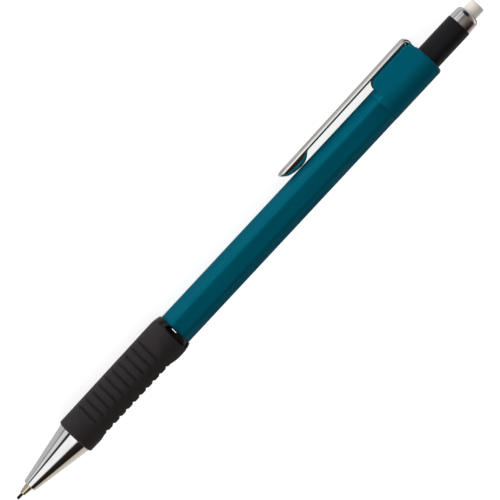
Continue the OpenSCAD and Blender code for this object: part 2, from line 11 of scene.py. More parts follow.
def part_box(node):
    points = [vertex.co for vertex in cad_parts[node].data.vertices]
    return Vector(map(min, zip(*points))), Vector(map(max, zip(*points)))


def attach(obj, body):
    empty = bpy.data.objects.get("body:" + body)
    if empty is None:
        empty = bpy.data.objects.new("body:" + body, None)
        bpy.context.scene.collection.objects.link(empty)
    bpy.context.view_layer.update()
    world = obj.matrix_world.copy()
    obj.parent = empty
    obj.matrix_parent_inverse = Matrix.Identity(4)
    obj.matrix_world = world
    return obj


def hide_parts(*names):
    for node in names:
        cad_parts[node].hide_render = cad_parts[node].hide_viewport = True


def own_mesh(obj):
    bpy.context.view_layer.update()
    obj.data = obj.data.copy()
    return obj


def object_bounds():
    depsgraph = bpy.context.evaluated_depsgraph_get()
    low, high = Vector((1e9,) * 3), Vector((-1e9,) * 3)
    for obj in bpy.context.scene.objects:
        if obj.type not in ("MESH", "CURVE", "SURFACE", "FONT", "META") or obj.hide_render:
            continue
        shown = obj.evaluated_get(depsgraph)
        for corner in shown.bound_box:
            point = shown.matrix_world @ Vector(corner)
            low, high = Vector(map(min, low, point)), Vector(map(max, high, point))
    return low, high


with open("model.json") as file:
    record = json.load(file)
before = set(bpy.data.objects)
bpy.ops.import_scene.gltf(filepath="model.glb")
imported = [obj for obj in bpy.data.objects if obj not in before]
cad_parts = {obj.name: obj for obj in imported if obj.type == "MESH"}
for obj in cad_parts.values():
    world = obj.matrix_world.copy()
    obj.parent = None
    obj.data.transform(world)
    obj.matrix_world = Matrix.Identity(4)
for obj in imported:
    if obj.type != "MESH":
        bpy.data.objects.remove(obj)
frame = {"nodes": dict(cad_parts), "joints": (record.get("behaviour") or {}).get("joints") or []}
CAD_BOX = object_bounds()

bl_info = {
    "name": "Mechanical Pencil",
    "version": (1, 0, 0),
    "blender": (4, 5, 0),
    "location": "View3D > Sidebar > Pencil",
    "description": "Dresses the packed solids of a mechanical pencil and sets up its studio",
    "category": "Object",
}

MM = 0.001
# Corners of a turned piece, and of the housing, whose lug has tight curves
SEGMENTS = 144
FINE_SEGMENTS = 432
# Angle above which an edge between two faces is drawn sharp
SHARP_EDGE = math.radians(32)
# Points nearer than this are merged
MERGE = 0.0005 * MM
JOINTS = {joint["name"]: joint for joint in frame["joints"]}
CLIP_HINGE = JOINTS["clip_flex"]


@functools.cache
def box(node):
    """Lowest and highest corner of a CAD node."""
    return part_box(node)


def bench_frame():
    """The drawing bench: origin at the lead's point, X towards the clip, Z along the pencil."""
    along = Vector((-1, 0, 0))
    to_clip = along.cross(Vector(CLIP_HINGE["axis"]))
    low, high = box("eraser")
    point = Vector((box("lead")[1].x, (low.y + high.y) / 2, (low.z + high.z) / 2))
    turn = Matrix((to_clip, along.cross(to_clip), along)).transposed()
    return Matrix.Translation(point) @ turn.to_4x4()


BENCH = bench_frame()
CLIP_PIVOT = BENCH.inverted() @ Vector(CLIP_HINGE["pos_m"])


def front(node):
    """How far a node's front end lies behind the lead's point."""
    return BENCH.translation.x - box(node)[1].x


def rear(node):
    """How far a node's rear end lies behind the lead's point."""
    return BENCH.translation.x - box(node)[0].x


def across(node):
    """Height of a lying node, which is the diameter of a turned one."""
    return box(node)[1].z - box(node)[0].z


# Properties


def linear(code):
    """Linear colour of an sRGB hex code."""
    channels = [int(code[i:i + 2], 16) / 255 for i in (1, 3, 5)]
    return tuple(c / 12.92 if c <= 0.04045 else ((c + 0.055) / 1.055) ** 2.4 for c in channels)


def length(name, default, description):
    """A size in metres."""
    return FloatProperty(name=name, description=description, default=default, min=0, precision=5,
                         unit="LENGTH")


def rotation(name, degrees, description):
    """An angle given in degrees."""
    return FloatProperty(name=name, description=description, default=math.radians(degrees),
                         unit="ROTATION")


def power(name, default, description):
    """A lamp's power in watts."""
    return FloatProperty(name=name, description=description, default=default, min=0, unit="POWER")


def colour(name, code, description):
    """A colour given by its sRGB hex code."""
    return FloatVectorProperty(name=name, description=description, default=linear(code), min=0, max=1,
                               subtype="COLOR")


class PencilSizes(bpy.types.PropertyGroup):
    """Sizes of the finished pieces."""

    nozzle_mouth_d: length("Nozzle mouth", 1.26 * MM, "Diameter at the nozzle's mouth")
    nozzle_d: length("Nozzle", 2.0 * MM, "Diameter where the nozzle leaves the cone")
    cone_front_d: length("Cone front", 3.15 * MM, "Diameter at the front of the cone")
    cone_edge: length("Cone edge", 0.3 * MM, "Rounding of the cone's front edge")
    grip_front_d: length("Grip front", 9.3 * MM, "Diameter at the front of the rubber")
    grip_edge: length("Grip edge", 0.42 * MM, "Rounding of the rubber's front edge")
    shoulder_length: length("Shoulder", 3.0 * MM, "Length over which the grip draws in to its collar")
    collar_d: length("Collar", 8.45 * MM, "Diameter of the collar where it meets the barrel")
    panel_offset: length("Panel offset", 4.36 * MM, "From the axis to the middle of a ribbed panel")
    panel_curve: length("Panel curve", 8.5 * MM, "Radius of a ribbed panel across the grip")
    panel_ramp: length("Panel ramp", 2.4 * MM, "Length over which a panel runs out at its ends")
    panel_blend: length("Panel blend", 0.18 * MM, "Softness of the edge between panel and grip")
    groove_first: length("First groove", 24.3 * MM, "From the lead's point to the first groove")
    groove_pitch: length("Groove pitch", 2.12 * MM, "Distance between grooves")
    groove_width: length("Groove width", 1.1 * MM, "Width of a groove")
    groove_depth: length("Groove depth", 0.3 * MM, "Depth of a groove")
    groove_count: IntProperty(name="Grooves", description="Grooves in a panel", default=10, min=1)
    housing_rim: length("Housing rim", 0.75 * MM, "Rounding of the housing's rear rim")
    lug_width: length("Lug width", 3.6 * MM, "Width of the lug that carries the clip")
    lug_reach: length("Lug reach", 5.94 * MM, "From the axis to the top of the lug")
    lug_nose: length("Lug nose", 2.04 * MM, "Radius of the lug's front")
    lug_edge: length("Lug edge", 0.3 * MM, "Softness of the lug's long edges")
    clip_width: length("Clip width", 3.6 * MM, "Width of the clip's strip")
    clip_thickness: length("Clip thickness", 0.75 * MM, "Thickness of the clip's strip")
    clip_bend: length("Clip bend", 1.3 * MM, "Outer radius of the clip's bend")
    clip_roll: length("Clip roll", 0.13 * MM, "How far the strip stands out with its rolled edges")
    clip_crown: length("Clip crown", 0.15 * MM, "Rise of the strip's outer face in its middle")
    clip_lean: rotation("Clip lean", 0.648, "Angle at which the strip leans to the barrel")
    clip_thinning: length("Clip thinning", 0.4 * MM, "How much thinner the strip is at its free end")
    clip_thinning_run: length("Thinning run", 1.2 * MM, "Length over which the strip thins")
    tongue_length: length("Tongue length", 2.2 * MM, "Length of the tongue in the housing")
    tongue_width: length("Tongue width", 2.6 * MM, "Width of the tongue in the housing")
    keel_length: length("Keel length", 8.5 * MM, "Length of the pressed keel")
    keel_peak: length("Keel peak", 5.3 * MM, "From the free end to the deepest place of the keel")
    keel_depth: length("Keel depth", 1.6 * MM, "How far the pressed keel stands below the strip")
    dish_depth: length("Dish depth", 0.9 * MM, "Depth of the dish in the outer face over the keel")
    ferrule_dome: length("Ferrule dome", 1.1 * MM, "Radius of the ferrule's rounded end")
    eraser_edge: length("Eraser edge", 0.3 * MM, "Rounding of the eraser's worn end")
    spring_wire: length("Spring wire", 0.28 * MM, "Thickness of the return spring's wire")
    spring_turns: FloatProperty(name="Spring turns", description="Turns of the return spring",
                                default=9, min=1)


class PencilColours(bpy.types.PropertyGroup):
    """Colours of the finishes."""

    teal: colour("Teal", "#02586b", "Moulded barrel and clip housing")
    rubber: colour("Rubber", "#252022", "Grip")
    chrome: colour("Chrome", "#f0f0f1", "Plated cone and ferrule")
    nickel: colour("Nickel", "#d8d0b2", "Nozzle")
    strip: colour("Strip steel", "#f2eeea", "Clip")
    gloss_black: colour("Gloss black", "#050506", "Collar behind the rubber")
    satin_black: colour("Satin black", "#131217", "Twist sleeve and eraser guide")
    vinyl: colour("Vinyl", "#f3ebe2", "Eraser")
    graphite: colour("Graphite", "#111113", "Leads")
    brass: colour("Brass", "#c9a24a", "Chuck, ring and clutch sleeve")
    acetal: colour("Acetal", "#d8d5ca", "Reservoir, bush and eraser cup")
    spring: colour("Spring steel", "#9b9c9f", "Return spring")


class PencilStudio(bpy.types.PropertyGroup):
    """Camera and light."""

    view_rise: rotation("View rise", 50.5, "Height of the camera above the horizon")
    view_slant: rotation("View slant", 47.012, "Slope of the pencil in the picture")
    view_centre: length("View centre", 74.6 * MM, "Station of the pencil in the picture's middle")
    view_shift: length("View shift", 0.105 * MM, "How far the picture's middle lies below the axis")
    view_width: length("View width", 109.55 * MM, "Width of the picture at the pencil")
    view_distance: length("View distance", 1.0, "From the camera to the pencil")
    key_power: power("Key", 5, "Power of the low front softbox")
    fill_power: power("Fill", 2.2, "Power of the soft lamp behind the pencil")
    bounce_power: power("Bounce", 0.13, "Power of the light that the paper throws back")
    strip_power: power("Strip", 12, "Power of the strip that lines the barrel's edges")
    spot_power: power("Spot", 5, "Power of the lamp that glints in the collar")
    ambient: FloatProperty(name="Ambient", description="Light from the whole room", default=0.37, min=0)


# Mesh helpers


def rounded(corners, steps=6):
    """An outline of (radius, station) points through corners (radius, station, rounding)."""
    outline = []
    for i, (r, z, rounding) in enumerate(corners):
        here = Vector((r, z))
        if rounding == 0:
            outline.append(here)
            continue
        back = (Vector(corners[i - 1][:2]) - here).normalized()
        ahead = (Vector(corners[(i + 1) % len(corners)][:2]) - here).normalized()
        half = back.angle(ahead) / 2
        centre = here + (back + ahead).normalized() * rounding / math.sin(half)
        begin = (here + back * rounding / math.tan(half) - centre).normalized()
        end = (here + ahead * rounding / math.tan(half) - centre).normalized()
        outline += [centre + begin.slerp(end, k / steps) * rounding for k in range(steps + 1)]
    return outline


def ring(z, radius, segments=SEGMENTS):
    """Points round the axis at one station, at a radius that may depend on the angle from the clip."""
    reach = radius if callable(radius) else lambda angle: radius
    angles = [2 * math.pi * i / segments for i in range(segments)]
    return [Vector((reach(a) * math.cos(a), reach(a) * math.sin(a), z)) for a in angles]


def skin(rings, closed, caps=()):
    """A mesh over rings of points; closed, it runs back to its first ring; caps are rings to fill."""
    made = bmesh.new()
    rows = [[made.verts.new(p) for p in points] for points in rings]
    following = rows[1:] + rows[:1] if closed else rows[1:]
    for row, after in zip(rows, following):
        for i in range(len(row)):
            made.faces.new((row[i - 1], row[i], after[i], after[i - 1]))
    for i in caps:
        made.faces.new(rows[i])
    bmesh.ops.remove_doubles(made, verts=made.verts, dist=MERGE)
    bmesh.ops.recalc_face_normals(made, faces=made.faces)
    mesh = bpy.data.meshes.new("bench")
    made.to_mesh(mesh)
    made.free()
    return mesh


def turned(outline):
    """A turned mesh of a closed outline; one that starts and ends on the axis is solid."""
    solid = outline[0][0] == 0 and outline[-1][0] == 0
    return skin([ring(z, r) for r, z in outline], closed=not solid)


def hold(mesh):
    """A helper object for modifiers."""
    holder = bpy.data.objects.new("bench", mesh)
    bpy.context.collection.objects.link(holder)
    return holder


def release(holder):
    """The plain mesh that a helper's modifiers make; the helper goes."""
    evaluated = holder.evaluated_get(bpy.context.evaluated_depsgraph_get())
    mesh = bpy.data.meshes.new_from_object(evaluated)
    holder.modifiers.clear()
    bpy.data.objects.remove(holder)
    return mesh


def grown(mesh, tree, values):
    """The plain mesh that a node tree makes from a mesh with values for its inputs."""
    holder = hold(mesh)
    growth = holder.modifiers.new(tree.name, "NODES")
    growth.node_group = tree
    for socket in tree.interface.items_tree:
        if socket.in_out == "INPUT" and socket.name in values:
            growth[socket.identifier] = values[socket.name]
    return release(holder)


def settle(name, mesh, finish, body, slot, *nodes):
    """Takes a mesh from the bench to its place: it rides on a body and stands for CAD nodes."""
    mesh.name = name
    mesh.transform(BENCH)
    mesh.shade_smooth()
    mesh.set_sharp_from_angle(angle=SHARP_EDGE)
    mesh.materials.clear()
    mesh.materials.append(finish)
    piece = bpy.data.objects.new(name, mesh)
    bpy.context.collection.objects.link(piece)
    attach(piece, body)
    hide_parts(*nodes)
    return piece


def paint(finish, *nodes):
    """Gives CAD nodes that keep their shape a finish."""
    for node in nodes:
        mesh = frame["nodes"][node].data
        mesh.materials.clear()
        mesh.materials.append(finish)


# Node helpers


# Sockets of a mix node for colours, whose names stand once for each kind of data
MIX_SHARE, MIX_FIRST, MIX_SECOND, MIX_RESULT = 0, 6, 7, 2


def wire(tree, node, inputs):
    """Sets a node's inputs, by name or order; a node or socket is linked, anything else is a value."""
    pairs = inputs.items() if isinstance(inputs, dict) else enumerate(inputs)
    for key, value in pairs:
        if isinstance(value, bpy.types.Node):
            value = value.outputs[0]
        if isinstance(value, bpy.types.NodeSocket):
            tree.links.new(value, node.inputs[key])
        else:
            node.inputs[key].default_value = value


def add(tree, kind, inputs=(), stops=(), **settings):
    """Adds one node with its settings and inputs, and a colour ramp's stops of position and colour."""
    node = tree.nodes.new(kind)
    for key, value in settings.items():
        setattr(node, key, value)
    for i, (position, value) in enumerate(stops):
        elements = node.color_ramp.elements
        stop = elements[i] if i < len(elements) else elements.new(position)
        stop.position = position
        stop.color = value
    wire(tree, node, inputs)
    return node


def start(name):
    """A new material with its node tree, its shader and its object coordinates."""
    made = bpy.data.materials.new(name)
    made.use_nodes = True
    tree = made.node_tree
    return made, tree, tree.nodes["Principled BSDF"], add(tree, "ShaderNodeTexCoord").outputs["Object"]


def per(size):
    """Pattern scale that repeats about once in a size in millimetres."""
    return 1 / (size * MM)


def shaded(value, factor):
    """A colour made lighter or darker, with full opacity."""
    return (*(min(1, c * factor) for c in value), 1)


# Finishes


@functools.cache
def moulded_teal():
    """ABS moulded in a polished tool: deep even colour, faint flow along the barrel, soft gloss."""
    made, tree, shader, place = start("Moulded teal ABS")
    teal = bpy.context.scene.pencil_colours.teal
    flow_place = add(tree, "ShaderNodeMapping", {"Vector": place, "Scale": (per(9), per(1.4), per(1.4))})
    flow = add(tree, "ShaderNodeTexNoise", {"Vector": flow_place, "Scale": 1, "Detail": 3})
    tone = add(tree, "ShaderNodeValToRGB", [flow],
               [(0.3, shaded(teal, 0.94)), (0.7, shaded(teal, 1.06))])
    handling = add(tree, "ShaderNodeTexNoise", {"Vector": place, "Scale": per(5), "Detail": 4})
    gloss = add(tree, "ShaderNodeMapRange", [handling, 0.35, 0.7, 0.14, 0.22])
    # The tool's polish leaves a slight orange peel of about 0.6 mm
    peel = add(tree, "ShaderNodeTexNoise", {"Vector": place, "Scale": per(0.6), "Detail": 1})
    bump = add(tree, "ShaderNodeBump", {"Height": peel, "Strength": 0.05, "Distance": 0.01 * MM})
    wire(tree, shader, {"Base Color": tone, "Roughness": gloss, "Normal": bump, "IOR": 1.53,
                        "Specular IOR Level": 0.06, "Specular Tint": (0, 0.85, 1, 1)})
    return made


@functools.cache
def grip_rubber():
    """Thermoplastic rubber from an eroded tool: warm matt black, fine grain, painted shade in the grooves.
    """
    made, tree, shader, place = start("Moulded grip rubber")
    rubber = bpy.context.scene.pencil_colours.rubber
    mottle = add(tree, "ShaderNodeTexNoise", {"Vector": place, "Scale": per(3), "Detail": 5})
    tone = add(tree, "ShaderNodeValToRGB", [mottle],
               [(0.3, shaded(rubber, 0.85)), (0.72, shaded(rubber, 1.2))])
    # The grooves get painted shade: the rubber is darkened to 0.4 where they are marked
    groove = add(tree, "ShaderNodeAttribute", attribute_name="groove").outputs["Fac"]
    worn = add(tree, "ShaderNodeMix", data_type="RGBA")
    wire(tree, worn, {MIX_SHARE: groove, MIX_FIRST: tone, MIX_SECOND: shaded(rubber, 0.4)})
    # Eroded grain is about 0.05 mm and is drawn at 0.2 mm so that it shows
    grain = add(tree, "ShaderNodeTexNoise", {"Vector": place, "Scale": per(0.2), "Detail": 2})
    bump = add(tree, "ShaderNodeBump", {"Height": grain, "Strength": 0.35, "Distance": 0.03 * MM})
    rough = add(tree, "ShaderNodeMapRange", [mottle, 0.3, 0.7, 0.62, 0.78])
    wire(tree, shader, {"Base Color": worn.outputs[MIX_RESULT], "Roughness": rough, "Normal": bump,
                        "IOR": 1.5, "Specular IOR Level": 0.38, "Sheen Weight": 0.06,
                        "Sheen Roughness": 0.4})
    return made


def plated(name, value, roughness, line_gap):
    """A bright metal with turning lines round the axis, whose gap is given in millimetres."""
    made, tree, shader, place = start(name)
    # Turning lines are about 0.05 mm apart and are drawn wider apart so that they show
    lathe_place = add(tree, "ShaderNodeMapping",
                      {"Vector": place, "Scale": (per(line_gap), per(4), per(4))})
    lathe = add(tree, "ShaderNodeTexNoise", {"Vector": lathe_place, "Scale": 1, "Detail": 2})
    haze = add(tree, "ShaderNodeTexNoise", {"Vector": place, "Scale": per(2.5), "Detail": 4})
    rough = add(tree, "ShaderNodeMapRange", [haze, 0.3, 0.75, roughness, roughness * 1.8])
    tone = add(tree, "ShaderNodeValToRGB", [haze],
               [(0.35, shaded(value, 0.95)), (0.7, shaded(value, 1.03))])
    bump = add(tree, "ShaderNodeBump", {"Height": lathe, "Strength": 0.06, "Distance": 0.004 * MM})
    wire(tree, shader, {"Base Color": tone, "Metallic": 1, "Roughness": rough, "Normal": bump})
    return made


@functools.cache
def chrome_plating():
    """Chrome over polished brass: a mirror with a faint haze from handling."""
    return plated("Polished chrome plating", bpy.context.scene.pencil_colours.chrome,
                  roughness=0.05, line_gap=0.25)


@functools.cache
def nickel_plating():
    """Nickel over turned brass: a pale warm mirror with fine lathe lines."""
    return plated("Turned nickel plating", bpy.context.scene.pencil_colours.nickel,
                  roughness=0.05, line_gap=0.12)


@functools.cache
def turned_brass():
    """Bare turned brass: yellow, bright, with lathe lines."""
    return plated("Turned brass", bpy.context.scene.pencil_colours.brass,
                  roughness=0.2, line_gap=0.15)


@functools.cache
def drawn_spring_steel():
    """Drawn spring steel: grey and half bright, with fine streaks."""
    return plated("Drawn spring steel", bpy.context.scene.pencil_colours.spring,
                  roughness=0.28, line_gap=0.1)


@functools.cache
def clip_strip_steel():
    """Rolled steel strip, tumbled bright: grain along the strip and soft streaked reflections."""
    made, tree, shader, place = start("Rolled bright steel")
    steel = bpy.context.scene.pencil_colours.strip
    # Rolling lines are about 0.02 mm apart and are drawn at 0.12 mm so that they show
    grain_place = add(tree, "ShaderNodeMapping",
                      {"Vector": place, "Scale": (per(6), per(0.12), per(0.12))})
    grain = add(tree, "ShaderNodeTexNoise", {"Vector": grain_place, "Scale": 1, "Detail": 3})
    tone = add(tree, "ShaderNodeValToRGB", [grain],
               [(0.3, shaded(steel, 0.9)), (0.7, shaded(steel, 1.06))])
    rough = add(tree, "ShaderNodeMapRange", [grain, 0.3, 0.7, 0.07, 0.13])
    bump = add(tree, "ShaderNodeBump", {"Height": grain, "Strength": 0.08, "Distance": 0.004 * MM})
    wire(tree, shader, {"Base Color": tone, "Metallic": 1, "Roughness": rough, "Normal": bump})
    return made


def moulded_black(name, value, roughness, shine, grain_size, grain_strength):
    """A black moulding with a grain of a given size in millimetres."""
    made, tree, shader, place = start(name)
    cloud = add(tree, "ShaderNodeTexNoise", {"Vector": place, "Scale": per(4), "Detail": 4})
    tone = add(tree, "ShaderNodeValToRGB", [cloud],
               [(0.3, shaded(value, 0.85)), (0.7, shaded(value, 1.15))])
    rough = add(tree, "ShaderNodeMapRange", [cloud, 0.3, 0.7, roughness, roughness * 1.25])
    grain = add(tree, "ShaderNodeTexNoise", {"Vector": place, "Scale": per(grain_size), "Detail": 2})
    bump = add(tree, "ShaderNodeBump",
               {"Height": grain, "Strength": grain_strength, "Distance": 0.02 * MM})
    wire(tree, shader, {"Base Color": tone, "Roughness": rough, "Normal": bump, "IOR": 1.5,
                        "Specular IOR Level": shine})
    return made


@functools.cache
def gloss_black():
    """Core moulded in a mirror-polished tool: deep black with sharp small highlights."""
    return moulded_black("Polished black ABS", bpy.context.scene.pencil_colours.gloss_black,
                         roughness=0.07, shine=0.35, grain_size=1.2, grain_strength=0.05)


@functools.cache
def satin_black():
    """Sleeve from a finely eroded tool: dark grey satin that spreads its highlights."""
    # Eroded grain is about 0.05 mm and is drawn at 0.18 mm so that it shows
    return moulded_black("Satin black ABS", bpy.context.scene.pencil_colours.satin_black,
                         roughness=0.42, shine=0.25, grain_size=0.18, grain_strength=0.2)


@functools.cache
def retainer_rubber():
    """Soft black rubber, quite matt."""
    return moulded_black("Soft black rubber", bpy.context.scene.pencil_colours.rubber,
                         roughness=0.7, shine=0.2, grain_size=0.2, grain_strength=0.3)


@functools.cache
def eraser_vinyl():
    """Soft vinyl: off-white, a little translucent, with graphite smudges at the used end."""
    made, tree, shader, place = start("Soft eraser vinyl")
    vinyl = bpy.context.scene.pencil_colours.vinyl
    end_x = box("eraser")[0].x
    along = add(tree, "ShaderNodeSeparateXYZ", [place]).outputs["X"]
    used = add(tree, "ShaderNodeMapRange", [along, end_x, end_x + 0.9 * MM, 1, 0])
    smear = add(tree, "ShaderNodeTexNoise", {"Vector": place, "Scale": per(0.7), "Detail": 4})
    smudge = add(tree, "ShaderNodeMapRange", [smear, 0.45, 0.75, 0, 0.5])
    dirt = add(tree, "ShaderNodeMath", [used, smudge], operation="MULTIPLY")
    tone = add(tree, "ShaderNodeMix", data_type="RGBA")
    clean = add(tree, "ShaderNodeValToRGB", [smear],
                [(0.35, shaded(vinyl, 0.93)), (0.65, shaded(vinyl, 1.03))])
    wire(tree, tone, {MIX_SHARE: dirt, MIX_FIRST: clean, MIX_SECOND: shaded(vinyl, 0.45)})
    # Crumbs at the end are about 0.3 mm
    crumbs = add(tree, "ShaderNodeTexNoise", {"Vector": place, "Scale": per(0.3), "Detail": 3})
    bump = add(tree, "ShaderNodeBump", {"Height": crumbs, "Strength": 0.2, "Distance": 0.03 * MM})
    rough = add(tree, "ShaderNodeMapRange", [smear, 0.3, 0.7, 0.55, 0.7])
    wire(tree, shader, {"Base Color": tone.outputs[MIX_RESULT], "Roughness": rough, "Normal": bump,
                        "IOR": 1.5, "Specular IOR Level": 0.3, "Subsurface Weight": 0.15,
                        "Subsurface Scale": 0.4 * MM})
    return made


@functools.cache
def polymer_graphite():
    """Fired polymer lead: grey-black with a dull metallic glint."""
    made, tree, shader, place = start("Polymer graphite")
    graphite = bpy.context.scene.pencil_colours.graphite
    # Flakes are about 0.01 mm and are drawn at 0.15 mm so that they show
    flakes = add(tree, "ShaderNodeTexNoise", {"Vector": place, "Scale": per(0.15), "Detail": 2})
    tone = add(tree, "ShaderNodeValToRGB", [flakes],
               [(0, shaded(graphite, 0.6)), (1, shaded(graphite, 1.5))])
    rough = add(tree, "ShaderNodeMapRange", [flakes, 0.3, 0.7, 0.38, 0.55])
    bump = add(tree, "ShaderNodeBump", {"Height": flakes, "Strength": 0.15, "Distance": 0.01 * MM})
    wire(tree, shader, {"Base Color": tone, "Metallic": 0.2, "Roughness": rough, "Normal": bump})
    return made


@functools.cache
def natural_acetal():
    """Unpigmented acetal: milky, waxy and slightly translucent."""
    made, tree, shader, place = start("Natural acetal")
    acetal = bpy.context.scene.pencil_colours.acetal
    milk = add(tree, "ShaderNodeTexNoise", {"Vector": place, "Scale": per(6), "Detail": 2})
    tone = add(tree, "ShaderNodeValToRGB", [milk],
               [(0, shaded(acetal, 0.93)), (1, shaded(acetal, 1.02))])
    rough = add(tree, "ShaderNodeMapRange", [milk, 0.3, 0.7, 0.34, 0.45])
    wire(tree, shader, {"Base Color": tone, "Roughness": rough, "IOR": 1.48, "Subsurface Weight": 0.2,
                        "Subsurface Scale": 0.5 * MM})
    return made


# Pieces


# Radii of hidden fits that two pieces share, and the play between them
TIGHT_PLAY = 0.03 * MM
CONE_NECK = 2.83 * MM
CLUTCH_ROOM = 2.31 * MM
CORE = 3.48 * MM
BARREL_BORE = 3.2 * MM
HOUSING_SEAT = 3.6 * MM
# Rounding of a crisp edge on metal
CRISP = 0.05 * MM


class PENCIL_OT_lead(bpy.types.Operator):
    """Lead in use, with its worn point, and the spare leads"""

    bl_idname = "pencil.lead"
    bl_label = "Leads"

    def execute(self, context):
        radius = across("lead") / 2
        tip, end = front("lead"), rear("lead")
        worn, bevel = 0.7 * radius, 0.5 * radius
        worn_edge, bevel_edge, rear_edge = 0.06 * MM, 0.1 * MM, 0.03 * MM
        outline = rounded([(0, tip, 0), (worn, tip, worn_edge), (radius, tip + bevel, bevel_edge),
                           (radius, end, rear_edge), (0, end, 0)])
        settle("Lead", turned(outline), polymer_graphite(), "lead_in_use", "graphite", "lead")
        paint(polymer_graphite(), "spare_leads")
        return {"FINISHED"}


class PENCIL_OT_tip(bpy.types.Operator):
    """Nozzle and chromed cone"""

    bl_idname = "pencil.tip"
    bl_label = "Metal tip"

    def execute(self, context):
        sizes = context.scene.pencil_sizes
        mouth, shank, flange = sizes.nozzle_mouth_d / 2, sizes.nozzle_d / 2, across("tip_nozzle") / 2
        tip, end = front("tip_nozzle"), rear("tip_nozzle")
        cone, cone_end, grip = front("tip_cone"), rear("tip_cone"), front("grip_sleeve")
        soft = 0.12 * MM
        lead_bore = 0.4 * MM
        flange_z = end - 1.5 * MM
        # Pocket of the rubber ring that holds the lead
        pocket, pocket_z = 0.9 * MM, end - 1.2 * MM
        outline = rounded([
            (lead_bore, tip, CRISP), (mouth, tip, soft), (shank, cone, 0), (shank, flange_z, 0),
            (flange, flange_z, CRISP), (flange, end, CRISP), (pocket, end, 0), (pocket, pocket_z, 0),
            (lead_bore, pocket_z, 0)])
        settle("Nozzle", turned(outline), nickel_plating(), "nozzle", "nickel", "tip_nozzle")

        # Inside, from the front: bores for the nozzle's shank, its flange, the closing ring and the clutch
        shank_bore = shank + 0.08 * MM
        flange_bore, flange_stop = 1.48 * MM, cone + 3.2 * MM
        ring_bore, ring_stop = 1.87 * MM, cone + 7.1 * MM
        room_z = grip - 3.3 * MM
        outline = rounded([
            (shank_bore, cone, CRISP), (sizes.cone_front_d / 2, cone, sizes.cone_edge),
            (across("tip_cone") / 2, grip, soft), (CONE_NECK, grip, 0), (CONE_NECK, cone_end, 0),
            (CLUTCH_ROOM, cone_end, 0), (CLUTCH_ROOM - TIGHT_PLAY, room_z, 0), (ring_bore, room_z, 0),
            (ring_bore, ring_stop, 0), (flange_bore, ring_stop, 0), (flange_bore, flange_stop, 0),
            (shank_bore, flange_stop, 0)])
        settle("Cone", turned(outline), chrome_plating(), "body", "chrome", "tip_cone")
        return {"FINISHED"}


def shoulder(sizes, z):
    """Radius of the grip's shoulder, which draws in to the collar on a quarter of an ellipse."""
    share = 1 - max(0, front("barrel") - z) / sizes.shoulder_length
    collar = sizes.collar_d / 2
    return collar + (across("grip_sleeve") / 2 - collar) * math.sqrt(max(0, 1 - share * share))


